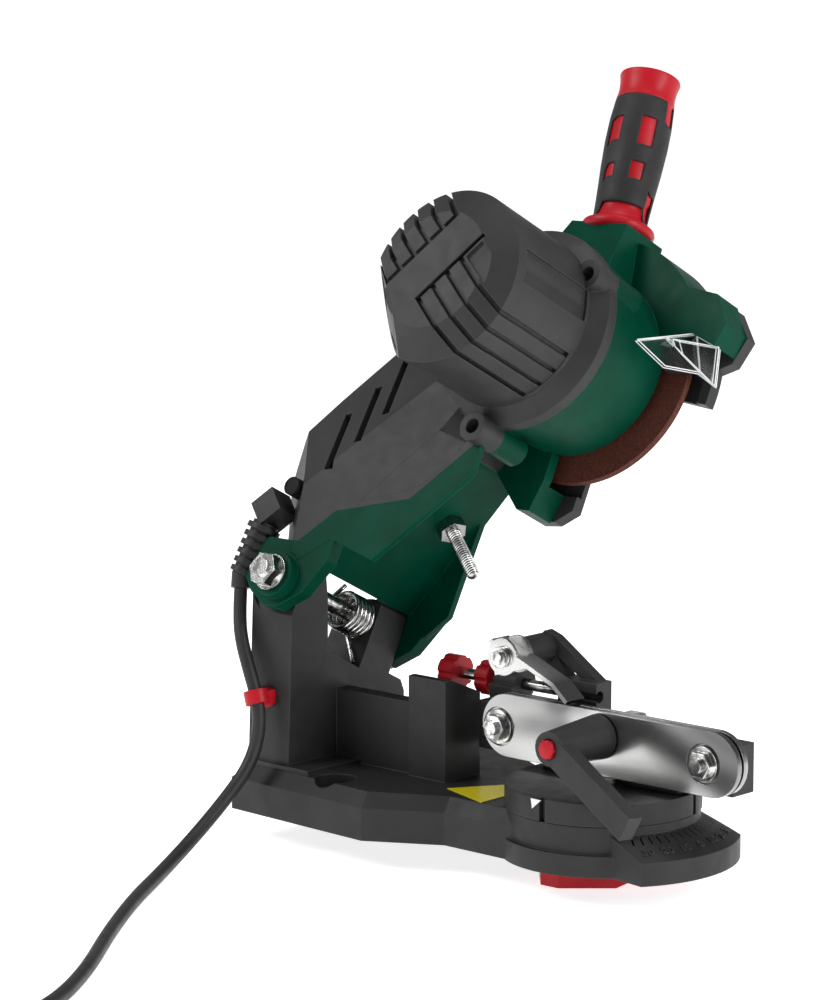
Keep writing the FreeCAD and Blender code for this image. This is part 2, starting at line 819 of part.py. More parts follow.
def raised_ribs():
    grown = pot_solid(rib_height)
    reach = pot_radius + overrun
    top = pot_end + rib_height + overrun
    band = box((-reach, band_offset - band_half_width, pot_shoulder),
               (reach, band_offset + band_half_width, top))
    band.Placement = Placement(head(0, 0, 0), Rotation(Vector(0, 0, 1), band_angle))
    pieces = [band.common(grown)]
    for k in (-2, -1, 0, 1):
        upper = slab(k * bar_pitch, bar_width / 2, pot_shoulder, top, (band_offset + band_half_width + rib_height, reach))
        pieces.append(upper.common(grown))
    for k in (-1, 0, 1):
        lower = slab(k * bar_pitch, bar_width / 2, rib_end, top, (-reach, band_offset - band_half_width - rib_height))
        pieces.append(lower.common(grown))
    return pieces


def side_panel():
    block = box((pot_radius - panel_depth, -panel_width / 2, panel_ends[0]),
                (pot_radius + overrun, panel_width / 2, panel_ends[1]))
    block.Placement = Placement(head(0, 0, 0), Rotation(Vector(0, 0, 1), panel_angle))
    return block


def vents():
    slots = []
    fold = (arm_point(fold_shares[1], 0) - arm_point(fold_shares[0], 0)).normalize()
    x, y = polar(vent_length, vent_lean)
    way = Vector(x, y, -vent_drop).normalize()
    for shares in vent_starts:
        slot = box((-vent_depth, -vent_width / 2, 0), (vent_depth, vent_width / 2, vent_length))
        slot.Placement = Placement(arm_point(shares, near_wall), Rotation(Vector(), fold, way, "ZYX"))
        slots.append(slot)
    return slots


def black_bosses():
    return Part.makeCompound([rod(screw_boss_radius, place + spot(drum_root), place + spot(screw_boss_top))
                              for place in screw_places()])


def motor_shell():
    cover = joined(beam(0), skirt_near()).common(black_side(-shell_split, near_wall + overrun))
    bosses = black_bosses().Solids
    hollow, pot = motor_space()
    beam_space = beam(wall)
    body = joined(pot_solid(0), cover, *bosses, *raised_ribs()).cut(green_outer())
    for space in (beam_space, hollow, pot):
        body = body.cut(space)
    body = body.cut(side_panel())
    for slot in vents():
        body = body.cut(slot)
    width, length = switch_size
    body = body.cut(switch_block(length / 2 + fit_gap, width / 2 + fit_gap, -switch_depth, overrun))
    for place in screw_axes():
        body = body.cut(rod(screw_head_radius + seat_gap, place + spot(screw_seat), place + spot(pot_end)))
    return shank_holes(body)


# Covers and handle

def wheel_cover():
    low = -guard_depth - cover_rim - cover_plate
    angles = cover_window_angles
    ring = disc(guard_radius, low, -guard_depth).cut(sector(angles, wheel_diameter, low, -guard_depth))
    lugs = [head_prism(shares, low, -guard_depth) for shares in (cover_lug_shares, cover_side_shares)]
    body = joined(joined(ring, *lugs).cut(wheel_space()), *cover_tab())
    for place in cover_screw_places():
        body = body.cut(rod(screw_shank_radius + fit_gap, place + spot(low - overrun), place))
    return body.cut(handle_socket())


def cover_tab():
    low, high = cover_tab_depths
    tab = sector(cover_tab_angles, guard_radius, low, high).cut(disc(cover_tab_inner, low, high))
    rim = sector(cover_tab_angles, guard_radius, -guard_depth, low).cut(
        disc(guard_radius - guard_rim, -guard_depth, low))
    return tab.cut(guard_solid()), rim.cut(guard_solid())


def cover_screw_places():
    return [head(a * wheel_diameter, b * wheel_diameter, 0) for a, b in cover_screw_shares]


def cover_screws():
    low = -guard_depth - cover_rim - cover_plate
    screws = []
    for place in cover_screw_places():
        shank = rod(screw_shank_radius, place + spot(low), place + spot(-guard_web))
        screws.append(joined(rod(screw_head_radius, place + spot(low - screw_head_height), place + spot(low)), shank))
    return screws


def shell_screws():
    screws = []
    for place in screw_axes():
        top = place + spot(screw_seat + screw_head_height)
        shank = rod(screw_shank_radius, place + spot(screw_seat - screw_depth), place + spot(screw_seat))
        screws.append(joined(rod(screw_head_radius, place + spot(screw_seat), top), shank))
    return screws


def sheet_of(shares, depths):
    places = scaled(shares, wheel_diameter)
    corners = [head(a, b, h) for (a, b), h in zip(places, depths)]
    way = (corners[1] - corners[0]).cross(corners[2] - corners[0]).normalize()
    corners = [corner - way * way.dot(corner - corners[0]) for corner in corners]
    if way.z < 0:
        way = way * -1
    return face_of(corners).extrude(way * shield_thickness)


def eye_shield():
    side = head_prism(shield_side_shares, shield_depth, shield_depth + shield_thickness)
    lid = sheet_of(shield_lid_shares, shield_lid_depths)
    brow = sheet_of(shield_brow_shares, shield_brow_depths)
    return joined(side, lid, brow)


handle_x, handle_y = polar(1, handle_lean)
handle_way = Vector(handle_x, handle_y, 0)
handle_base = head((socket_top[0] + socket_top[1]) / 2, socket_top[2],
                   (socket_top_depths[0] + socket_top_depths[1]) / 2)


def along_handle(distance):
    return handle_base + handle_way * distance


def handle_core():
    flange = rod(handle_flange_radius, along_handle(-overrun), along_handle(handle_flange_height)).cut(handle_socket())
    neck = taper(handle_neck_radius + wall, handle_neck_radius, along_handle(handle_flange_height),
                 along_handle(grip_start))
    core = rod(core_radius, along_handle(grip_start), along_handle(grip_start + grip_length))
    cap = taper(core_radius, cap_radius, along_handle(grip_start + grip_length), along_handle(handle_length))
    hole = rod(stud_diameter / 2 + fit_gap, along_handle(-2 * overrun), along_handle(stud_reach))
    return joined(flange, neck, core, cap).cut(hole)


def handle_windows():
    cutters = []
    for level in window_levels:
        for turn in window_turns:
            low = grip_start + level * grip_length
            block = box((0, -window_width / 2, low), (grip_radius + overrun, window_width / 2, low + window_height))
            block.Placement = Placement(handle_base, Rotation(Vector(0, 0, 1), handle_way).multiply(
                Rotation(Vector(0, 0, 1), turn)))
            cutters.append(block)
    return cutters


def handle_grip():
    start = along_handle(grip_start)
    end = along_handle(grip_start + grip_length)
    middle = along_handle(grip_start + grip_length / 2)
    body = joined(taper(grip_radius - seat_gap, grip_radius, start, middle),
                  taper(grip_radius, grip_radius - seat_gap, middle, end))
    body = body.cut(rod(core_radius + fit_gap, start - handle_way, end + handle_way))
    for cutter in handle_windows():
        body = body.cut(cutter)
    return body


def handle_stud():
    return rod(stud_diameter / 2, along_handle(-stud_reach / 2), along_handle(stud_reach - seat_gap))


# Motor and wheel spindle

def ring(outer, inner, low, high):
    return disc(outer, low, high).cut(disc(inner, low - overrun, high + overrun))


rotor_end = rotor_start + rotor_length
commutator_start = rotor_end + seat_gap
rear_bearing = commutator_start + commutator_length + 2 * overrun
shaft_radius = motor_shaft_diameter / 2
wheel_low = -wheel_offset - wheel_width / 2
wheel_high = -wheel_offset + wheel_width / 2
flange_low = wheel_low - wheel_flange_thickness
flange_high = wheel_high + wheel_flange_thickness


def rotor_shaft():
    return disc(shaft_radius, flange_low - spindle_nut_height, rear_bearing + bearing_width)


def rotor_core():
    body = ring(rotor_radius, shaft_radius + fit_gap, rotor_start, rotor_end)
    for k in range(rotor_slots):
        x, y = polar(rotor_radius, 360 * k / rotor_slots)
        body = body.cut(rod(rotor_slot_radius, head(x, y, rotor_start - overrun), head(x, y, rotor_end + overrun)))
    return body


def commutator():
    return ring(commutator_radius, shaft_radius + fit_gap, commutator_start, commutator_start + commutator_length)


def motor_fan():
    plate = ring(fan_radius, shaft_radius + fit_gap, fan_start, fan_start + fan_plate)
    hub = ring(shaft_radius + wall, shaft_radius + fit_gap, fan_start, fan_start + fan_height)
    blades = []
    for k in range(fan_blades):
        blade = box((shaft_radius + wall - seat_gap, -fan_plate / 2, fan_start),
                    (fan_radius, fan_plate / 2, fan_start + fan_height))
        blade.Placement = Placement(head(0, 0, 0), Rotation(Vector(0, 0, 1), 360 * k / fan_blades))
        blades.append(blade)
    return joined(plate, hub, *blades)


def grinding_wheel():
    return ring(wheel_diameter / 2, wheel_bore / 2 + fit_gap, wheel_low, wheel_high)


def wheel_flanges():
    inner = ring(wheel_flange_radius, shaft_radius + fit_gap, wheel_high, flange_high)
    outer = ring(wheel_flange_radius, shaft_radius + fit_gap, flange_low, wheel_low)
    return inner, outer


def spindle_nut():
    nut = hexagon(spindle_nut_flats, head(0, 0, flange_low - spindle_nut_height), head(0, 0, flange_low))
    return nut.cut(disc(shaft_radius + fit_gap, flange_low - spindle_nut_height - overrun, flange_low + overrun))


def motor_bearings():
    bore = shaft_radius + running_gap
    front = ring(bearing_diameter / 2, bore, bearing_seat, bearing_seat + bearing_width)
    rear = ring(bearing_diameter / 2, bore, rear_bearing, rear_bearing + bearing_width)
    return front, rear


def bearing_plate():
    radius = pot_radius - wall - fit_gap
    low = rear_bearing
    plate = ring(radius, bearing_diameter / 2 + fit_gap, low, low + bearing_width)
    for k in range(plate_windows):
        x, y = polar((radius + bearing_diameter / 2) / 2, plate_window_angle + 360 * k / plate_windows)
        plate = plate.cut(rod(plate_window_radius, head(x, y, low - overrun), head(x, y, low + bearing_width + overrun)))
    return plate.common(motor_space()[1])


def motor_stator():
    low = rotor_start - (stator_length - rotor_length) / 2
    body = ring(pot_radius - wall - fit_gap, rotor_radius + air_gap, low, low + stator_length)
    return body


def brush_centre():
    return commutator_start + commutator_length / 2


def brush_block(side, start, end, half, centre):
    block = box((start, -half, centre - half), (end, half, centre + half))
    block.Placement = Placement(head(0, 0, 0), Rotation(Vector(0, 0, 1), brush_angle + side * 180))
    return block


def carbon_brushes():
    start = commutator_radius + running_gap
    return [brush_block(side, start, start + brush_length, brush_size / 2, brush_centre()) for side in (0, 1)]


def brush_holders():
    holders = []
    for side in (0, 1):
        start = commutator_radius + wall
        end = pot_radius - wall - fit_gap
        shell = brush_block(side, start, end - overrun, brush_size / 2 + wall / 2, brush_centre())
        holders.append(shell.cut(brush_block(side, 0, end - wall - overrun, brush_size / 2 + fit_gap, brush_centre())))
    return holders


# Depth screw, switch and strain relief

def depth_axis():
    x, y = polar(1, depth_screw_angle)
    tip = arm_point(depth_tip_shares, -depth_screw_offset)
    return tip, Vector(-x, -y, 0)


def depth_screw():
    tip, way = depth_axis()
    radius = depth_screw_diameter / 2
    ball = Part.makeSphere(radius, tip + way * radius)
    return joined(rod(radius, tip + way * radius, tip + way * depth_screw_length), ball)


def depth_seat():
    tip, way = depth_axis()
    x, y = polar(1, arm_direction)
    down = Vector(y, -x, 0)
    return tip - way * ((down.dot(tip) + floor_level) / down.dot(way))


def depth_lock_nut():
    tip, way = depth_axis()
    start = depth_seat() - way * (seat_gap + lock_nut_height)
    nut = hexagon(lock_nut_flats, start, start + way * lock_nut_height)
    return nut.cut(rod(depth_screw_diameter / 2 + fit_gap, start - way, start + way * (lock_nut_height + 1)))


def relief_point(shares):
    return arm_point(shares, relief_offset)


def strain_relief():
    top = relief_point(relief_top_share)
    end = relief_point(relief_end_share)
    way = end - top
    half = relief_block / 2
    block = box((-half, -half, -half), (half, half, half))
    block.Placement = Placement(relief_point(relief_block_share), Rotation(Vector(0, 0, 1), relief_block_angle))
    collar = arm_point(relief_collar_share, relief_collar_offset)
    pieces = [taper(relief_radii[0], relief_radii[1], top, end), Part.makeSphere(relief_radii[1], end),
              rod(relief_radii[1], end, collar)]
    for k in range(relief_ribs):
        share = (k + relief_rib_share) / relief_ribs
        radius = relief_rib_radii[0] + (relief_rib_radii[1] - relief_rib_radii[0]) * share
        start = top + way * share
        pieces.append(rod(radius, start, start + Vector(way).normalize() * relief_rib_width))
    body = joined(block, *pieces).cut(beam(0))
    for ear in ears():
        body = body.cut(ear)
    return body


def switch_frame():
    a = arm_point(switch_places[0], 0)
    b = arm_point(switch_places[1], 0)
    way = b - a
    out = Vector(-way.y, way.x, 0)
    centre = (a + b) * 0.5 + spot(switch_level)
    return Placement(centre, Rotation(way, Vector(0, 0, 1), out, "ZXY"))


def switch_block(half_x, half_y, low, high):
    block = box((-half_x, -half_y, low), (half_x, half_y, high))
    block.Placement = switch_frame()
    return block


def switch_body():
    width, length = switch_size
    flange = switch_block(length / 2 + switch_lip, width / 2 + switch_lip, 0, switch_lip)
    case = switch_block(length / 2, width / 2, -switch_depth, 0)
    pocket = switch_block(rocker_size[1] / 2 + 2 * seat_gap, rocker_size[0] / 2 + seat_gap,
                          -rocker_rise - seat_gap, 2 * switch_lip)
    return joined(flange, case).cut(pocket).cut(rocker_pin(rocker_pin_radius + fit_gap, rocker_pin_reach + seat_gap))


def rocker_pin(radius, reach):
    half = rocker_size[0] / 2 + reach
    pin = rod(radius, Vector(0, -half, rocker_pin_level), Vector(0, half, rocker_pin_level))
    pin.Placement = switch_frame()
    return pin


def switch_rocker():
    half_length = rocker_size[1] / 2
    half_width = rocker_size[0] / 2
    outline = [(-half_length, switch_lip + rocker_rise), (0, switch_lip), (half_length, switch_lip + seat_gap),
               (half_length - rocker_rise, -rocker_rise / 2), (rocker_rise - half_length, -rocker_rise / 2)]
    solid = across_y(outline, -half_width, half_width)
    solid.Placement = switch_frame()
    return joined(solid, rocker_pin(rocker_pin_radius, rocker_pin_reach))


# Turntable and vise

def vise_box(x_shares, y_low, y_high, z_low, z_high):
    return box((x_shares[0] * vise_span, y_low, z_low), (x_shares[1] * vise_span, y_high, z_high))


table_base = drum_top + table_gap
table_top = table_base + table_height
rail_low = rail_z_shares[0] * vise_span
rail_high = rail_z_shares[1] * vise_span
front_rail_y = rail_front_share * vise_span
slot_front = front_rail_y + rail_thickness
slot_back = slot_front + chain_gap
rear_rail_back = slot_back + rail_thickness
bar_front = rear_rail_back
bar_back = bar_back_share * vise_span
lever_x = lever_x_share * vise_span
lever_z = lever_z_share * vise_span


def turntable():
    centre = Vector(drum_x, 0, 0)
    body = rod(table_radius, centre + Vector(0, 0, table_base), centre + Vector(0, 0, table_top))
    saddle = vise_box(saddle_x_shares, bar_front, bar_back, table_top - wall, bar_z_shares[0] * vise_span)
    body = joined(body, saddle)
    for angle in notch_angles:
        notch = box((table_radius - notch_depth, -notch_width / 2, table_base - overrun),
                    (table_radius + overrun, notch_width / 2, table_top + overrun))
        notch.Placement = Placement(centre, Rotation(Vector(0, 0, 1), angle))
        body = body.cut(notch)
    seat = centre + Vector(0, 0, table_top)
    bolt = rod(table_bolt_diameter / 2 + fit_gap, centre, seat + Vector(0, 0, overrun))
    return body.cut(bolt).cut(rod(table_bolt_diameter + seat_gap, seat, seat + Vector(0, 0, bolt_head_height + overrun)))


def rail(front):
    radius = (rail_high - rail_low) / 2
    level = (rail_high + rail_low) / 2
    left = rail_x_shares[0] * vise_span + radius
    right = rail_x_shares[1] * vise_span - radius
    back = front + rail_thickness
    body = joined(box((left, front, rail_low), (right, back, rail_high)),
                  rod(radius, Vector(left, front, level), Vector(left, back, level)),
                  rod(radius, Vector(right, front, level), Vector(right, back, level)))
    for x, z in scaled(rail_bolt_shares, vise_span):
        body = body.cut(rod(rail_bolt_diameter / 2 + running_gap, Vector(x, front - overrun, z),
                            Vector(x, back + overrun, z)))
    return body.cut(rod(clamp_stud_diameter / 2 + running_gap, Vector(lever_x, front - overrun, lever_z),
                        Vector(lever_x, back + overrun, lever_z)))


def clamp_rail():
    body = rail(front_rail_y)
    for x, z in scaled(rail_bolt_shares, vise_span):
        cup = rod(rail_cup_radius, Vector(x, front_rail_y - overrun, z), Vector(x, front_rail_y + rail_cup_depth, z))
        body = body.cut(cup)
    return body


def fixed_rail():
    return rail(slot_back)


def vise_bar():
    low = bar_z_shares[0] * vise_span
    high = bar_z_shares[1] * vise_span
    feed_y = feed_y_share * vise_span
    feed_z = feed_z_share * vise_span
    body = vise_box(bar_x_shares, bar_front, bar_back, low, high)
    start, end = feed_axis(feed_boss_shares[0]), feed_axis(feed_boss_shares[1])
    stem = vise_box(feed_boss_shares, bar_back - boss_radius, bar_back, high - wall, feed_z)
    body = joined(body, rod(boss_radius, start, end), stem)
    body = body.cut(rod(feed_screw_diameter / 2 + running_gap, Vector(0, feed_y, feed_z),
                        Vector(bar_x_shares[1] * vise_span, feed_y, feed_z)))
    for x, z in scaled(rail_bolt_shares, vise_span):
        body = body.cut(rod(rail_bolt_diameter / 2 + fit_gap, Vector(x, bar_front - overrun, z),
                            Vector(x, bar_back + overrun, z)))
    return body.cut(rod(clamp_stud_diameter / 2 + fit_gap, Vector(lever_x, bar_front - overrun, lever_z),
                        Vector(lever_x, bar_back + overrun, lever_z)))


def rail_bolts():
    bolts = []
    for x, z in scaled(rail_bolt_shares, vise_span):
        seat = front_rail_y + rail_cup_depth - bolt_slack
        front = seat - washer_thickness
        shank = rod(rail_bolt_diameter / 2, Vector(x, front - rail_bolt_stand, z), Vector(x, bar_back + nut_reach, z))
        washer = rod(rail_cup_radius - cup_gap, Vector(x, front, z), Vector(x, seat, z))
        nut = hexagon(rail_bolt_flats, Vector(x, front - rail_bolt_stand + overrun, z), Vector(x, front, z))
        rear = hexagon(rail_bolt_flats, Vector(x, bar_back, z), Vector(x, bar_back + nut_reach - overrun, z))
        bolts.append(joined(shank, washer, nut, rear))
    return bolts


def clamp_stud():
    start = Vector(lever_x, lever_front_share * vise_span + button_length + overrun, lever_z)
    end = Vector(lever_x, bar_back + nut_reach, lever_z)
    head_end = Vector(lever_x, bar_back + nut_reach - overrun, lever_z)
    head_nut = hexagon(clamp_nut_flats, Vector(lever_x, bar_back, lever_z), head_end)
    return joined(rod(clamp_stud_diameter / 2, start, end), head_nut)


def clamp_lever():
    front = lever_front_share * vise_span + button_stand
    back = front_rail_y - jaw_travel_gap
    hub = taper(lever_hub_radius, lever_base_radius, Vector(lever_x, front, lever_z), Vector(lever_x, back, lever_z))
    arm = box((0, 0, -lever_arm_width / 2), (lever_arm_length, lever_arm_thickness, lever_arm_width / 2))
    swing = Rotation(Vector(0, -1, 0), lever_arm_angle).multiply(Rotation(Vector(0, 0, 1), -lever_arm_lean))
    arm.Placement = Placement(Vector(lever_x, front, lever_z), swing)
    body = joined(hub, arm)
    body = body.cut(rod(button_radius + running_gap, Vector(lever_x, front - overrun, lever_z),
                        Vector(lever_x, front + button_length, lever_z)))
    return body.cut(rod(clamp_stud_diameter / 2 + running_gap, Vector(lever_x, front, lever_z),
                        Vector(lever_x, back + overrun, lever_z)))


def lever_button():
    front = lever_front_share * vise_span
    return hexagon(button_radius * math.sqrt(3), Vector(lever_x, front, lever_z),
                   Vector(lever_x, front + button_length - button_travel, lever_z))


def feed_axis(share):
    return Vector(share * vise_span, feed_y_share * vise_span, feed_z_share * vise_span)


def feed_screw():
    return rod(feed_screw_diameter / 2, feed_axis(feed_screw_x_shares[0]), feed_axis(feed_screw_x_shares[1]))


def knob(shares):
    body = rod(knob_radius, feed_axis(shares[0]), feed_axis(shares[1]))
    for k in range(knob_flutes):
        x, y = polar(knob_radius + knob_flute_radius / 2, 360 * k / knob_flutes)
        flute = rod(knob_flute_radius, feed_axis(shares[0]) + Vector(-overrun, x, y),
                    feed_axis(shares[1]) + Vector(overrun, x, y))
        body = body.cut(flute)
    return body.cut(rod(feed_screw_diameter / 2 + fit_gap, feed_axis(shares[0] - vise_margin_share),
                        feed_axis(shares[1] + vise_margin_share)))


def feed_knob():
    return knob(feed_knob_shares)


def lock_knob():
    return knob(lock_knob_shares)


def stop_bracket():
    y_low = bar_back + seat_gap
    plate_front = carriage_y_shares[1] * vise_span - bracket_thickness
    plate_back = carriage_y_shares[1] * vise_span
    block = vise_box(carriage_x_shares, y_low, plate_back, carriage_z_shares[0] * vise_span - wall,
                     carriage_z_shares[1] * vise_span)
    plate = across_y(scaled(bracket_shares, vise_span), plate_front, plate_back)
    plate = plate.cut(across_y(scaled(bracket_window_shares, vise_span), plate_front - overrun, plate_back + overrun))
    pin_x = pawl_x_share * vise_span
    pin_z = pawl_z_share * vise_span
    front = pawl_front_share * vise_span + pawl_width + seat_gap
    boss = rod(pawl_boss_radius, Vector(pin_x, front, pin_z), Vector(pin_x, plate_back, pin_z))
    body = joined(block, plate, boss)
    body = body.cut(rod(pawl_pin_diameter / 2 + fit_gap, Vector(pin_x, front - overrun, pin_z),
                        Vector(pin_x, plate_back + overrun, pin_z)))
    return body.cut(rod(feed_screw_diameter / 2 + running_gap, feed_axis(feed_boss_shares[1]),
                        feed_axis(carriage_x_shares[1] + vise_margin_share)))


def pawl_pin():
    pin_x = pawl_x_share * vise_span
    pin_z = pawl_z_share * vise_span
    front = pawl_front_share * vise_span
    head_front = front - pin_head_height - seat_gap
    pin = rod(pawl_pin_diameter / 2, Vector(pin_x, head_front - pin_head_height, pin_z),
              Vector(pin_x, carriage_y_shares[1] * vise_span, pin_z))
    return joined(pin, rod(pawl_pin_diameter / 2 + wall / 2, Vector(pin_x, head_front, pin_z),
                           Vector(pin_x, front - seat_gap, pin_z)))


def stop_pawl():
    front = pawl_front_share * vise_span
    pin_x = pawl_x_share * vise_span
    pin_z = pawl_z_share * vise_span
    top = scaled(pawl_strip_shares, vise_span)
    lower = [(x - pawl_sheet, z - pawl_sheet) for x, z in top]
    strip = across_y(top + lower[::-1], front, front + pawl_width)
    cheek_outline = scaled(pawl_cheek_shares, vise_span)
    body = strip
    for y in (front, front + pawl_width - pawl_sheet):
        cheek = joined(across_y(cheek_outline, y, y + pawl_sheet),
                       rod(pawl_head_radius, Vector(pin_x, y, pin_z), Vector(pin_x, y + pawl_sheet, pin_z)))
        body = joined(body, cheek)
    return body.cut(rod(pawl_pin_diameter / 2 + running_gap, Vector(pin_x, front - overrun, pin_z),
                        Vector(pin_x, front + pawl_width + overrun, pin_z)))


def table_bolt():
    centre = Vector(drum_x, 0, 0)
    shank = rod(table_bolt_diameter / 2, centre - Vector(0, 0, handle_drop - wall), centre + Vector(0, 0, table_top))
    return joined(shank, rod(table_bolt_diameter, centre + Vector(0, 0, table_top),
                             centre + Vector(0, 0, table_top + bolt_head_height)))


def lock_handle():
    half = lock_handle_width / 2
    nose = lock_handle_nose / 2
    tail = drum_x - lock_handle_length / 2
    tip = drum_x + lock_handle_length / 2
    bend = drum_x + lock_handle_bend
    outline = [(tail, -nose), (tail + nose, -half), (bend, -half), (tip, -nose), (tip, nose), (bend, half),
               (tail + nose, half), (tail, nose)]
    body = upright(outline, -handle_drop, -seat_gap)
    slope = across_y([(bend, -handle_drop - overrun), (bend, -handle_drop), (tip, -handle_tip_drop),
                      (tip + overrun, -handle_tip_drop), (tip + overrun, -handle_drop - overrun)],
                     -half - overrun, half + overrun)
    body = turned(body.cut(slope), Vector(drum_x, 0, 0), Vector(0, 0, 1), lock_handle_angle)
    return body.cut(rod(table_bolt_diameter / 2 + fit_gap, Vector(drum_x, 0, wall - handle_drop),
                        Vector(drum_x, 0, overrun)))


def clip_place():
    a, b, c = [Vector(*point) for point in cord_route[clip_index - 1:clip_index + 2]]
    entry, middle, leave = corner_arc(a, b, c)
    return middle, Vector(leave - entry).normalize()


def cord_clip():
    x, y, z = scaled_point(clip_shares)
    radius = cord_diameter / 2 + seat_gap
    centre, way = clip_place()
    ends = centre - way * (clip_height / 2), centre + way * (clip_height / 2)
    foot = box((centre.x - clip_foot / 2, centre.y, centre.z - clip_height / 2),
               (centre.x + clip_foot / 2, y, centre.z + clip_height / 2))
    button = rod(clip_foot / 2, Vector(centre.x, y - clip_wall, z), Vector(centre.x, y, z))
    body = joined(rod(radius + clip_wall, *ends), foot, button)
    return body.cut(rod(radius, centre - way * clip_height, centre + way * clip_height)).cut(tower())


def scaled_point(shares):
    return [share * tower_span for share in shares]


# Mains cord, coil and plug

def corner_radius(a, b, c):
    before = b - a
    after = c - b
    turn = before.getAngle(after)
    return cord_arc_share * min(before.Length, after.Length) / math.tan(turn / 2), turn


def arc_at(corner, entry, leave):
    turn = Vector(corner - entry).getAngle(leave - corner)
    radius = (corner - entry).Length / math.tan(turn / 2)
    inward = Vector((entry + leave) * 0.5 - corner).normalize()
    return corner + inward * (radius / math.cos(turn / 2) - radius)


def corner_arc(a, b, c):
    radius, turn = corner_radius(a, b, c)
    leg = radius * math.tan(turn / 2)
    entry = b - Vector(b - a).normalize() * leg
    leave = b + Vector(c - b).normalize() * leg
    return entry, arc_at(b, entry, leave), leave


def cord_path(points):
    edges = []
    start = points[0]
    for a, b, c in zip(points, points[1:], points[2:]):
        entry, middle, leave = corner_arc(a, b, c)
        edges.append(Part.LineSegment(start, entry).toShape())
        edges.append(Part.Arc(entry, middle, leave).toShape())
        start = leave
    edges.append(Part.LineSegment(start, points[-1]).toShape())
    print("cord bend radii", [round(corner_radius(a, b, c)[0]) for a, b, c in zip(points, points[1:], points[2:])])
    return Part.Wire(edges)


# A wound path: two tangent arcs for each quarter turn of the curve that place_at gives

def way_at(place_at, share):
    step = 0.0001
    low = max(share - step, 0)
    high = min(share + step, 1)
    return Vector(place_at(high) - place_at(low)).normalize()


def wound_edges(place_at, quarters):
    edges = []
    for k in range(quarters):
        a = place_at(k / quarters)
        b = place_at((k + 1) / quarters)
        way_a = way_at(place_at, k / quarters)
        way_b = way_at(place_at, (k + 1) / quarters)
        span = b - a
        spread = 2 * (1 - way_a.dot(way_b))
        along = span.dot(way_a + way_b)
        leg = (math.sqrt(along * along + spread * span.dot(span)) - along) / spread
        corners = a + way_a * leg, b - way_b * leg
        joint = (corners[0] + corners[1]) * 0.5
        edges.append(Part.Arc(a, arc_at(corners[0], a, joint), joint).toShape())
        edges.append(Part.Arc(joint, arc_at(corners[1], joint, b), b).toShape())
    return edges


def least_gap(place_at, turns, diameter):
    per_turn = 36
    count = int(per_turn * turns)
    points = [place_at(k / count) for k in range(count + 1)]
    gaps = [(b - a).Length for k, a in enumerate(points) for b in points[k + per_turn // 2:]]
    return min(gaps) - diameter


def swept(path, diameter, start, way):
    section = Part.Wire(Part.makeCircle(diameter / 2, start, way))
    solid = path.makePipeShell([section], True, False)
    share = solid.Volume / (math.pi * diameter ** 2 / 4 * path.Length)
    print("tube length", round(path.Length), "volume over section times length", round(share, 4))
    return solid


def cord_points():
    leave = arm_place.multVec(relief_point(relief_end_share))
    first = arm_place.multVec(arm_point(relief_collar_share, relief_collar_offset))
    second = first + Vector(first - leave).normalize() * cord_first_run
    print("cord starts at", [round(value, 1) for value in (*first, *second)])
    return [first, second] + [Vector(*point) for point in cord_route]


def mains_cord():
    points = cord_points()
    return swept(cord_path(points), cord_diameter, points[0], points[1] - points[0])


# The spare cord: a round coil that starts where the route ends and in its direction, in two layers

def coil_angles():
    along = Vector(*cord_route[-1]) - Vector(*cord_route[-2])
    heading = math.degrees(math.atan2(along.y, along.x))
    drift = math.degrees(math.atan(coil_step / (2 * math.pi * coil_outer)))
    return Vector(along).normalize(), heading - 90 - drift


def coil_point(share):
    along, first_angle = coil_angles()
    half = coil_turns / 2
    turn = share * coil_turns
    radius = coil_outer - coil_step * (half - abs(turn - half))
    climb = min(max(2 * (turn - half) + 0.5, 0), 1)
    centre_x, centre_y = polar(coil_outer, first_angle)
    x, y = polar(radius, first_angle + 360 * turn)
    start = Vector(*cord_route[-1]) + along * cord_diameter
    return start + Vector(x - centre_x, y - centre_y, coil_lift * climb)


def coil_end():
    return coil_point(1) + way_at(coil_point, 1) * coil_tail


def cord_coil():
    lead = Vector(*cord_route[-1])
    edges = [Part.LineSegment(lead, coil_point(0)).toShape()] + wound_edges(coil_point, 4 * coil_turns)
    edges.append(Part.LineSegment(coil_point(1), coil_end()).toShape())
    print("coil: least gap between turns", round(least_gap(coil_point, coil_turns, cord_diameter), 2), "mm")
    return swept(Part.Wire(edges), cord_diameter, lead, coil_angles()[0])


def plug_place():
    return Placement(coil_end(), Rotation(Vector(1, 0, 0), way_at(coil_point, 1)))


def pin_start(side):
    return Vector(plug_length - pin_root, side * pin_spacing / 2, plug_height / 2 - plug_drop)


def plug_body():
    half = plug_width / 2
    nose = cord_diameter / 2 + wall / 2
    outline = [(0, -nose), (plug_nose, -nose), (2 * plug_nose, -half), (plug_length, -half),
               (plug_length, half), (2 * plug_nose, half), (plug_nose, nose), (0, nose)]
    body = upright(outline, -plug_drop, plug_height - plug_drop)
    for side in (-1, 1):
        start = pin_start(side)
        body = body.cut(rod(pin_diameter / 2 + fit_gap, start, start + Vector(2 * pin_root, 0, 0)))
    body.Placement = plug_place()
    return body


def plug_pins():
    pins = []
    for side in (-1, 1):
        start = pin_start(side)
        pin = rod(pin_diameter / 2, start, start + Vector(pin_root + pin_length, 0, 0))
        pin.Placement = plug_place()
        pins.append(pin)
    return pins


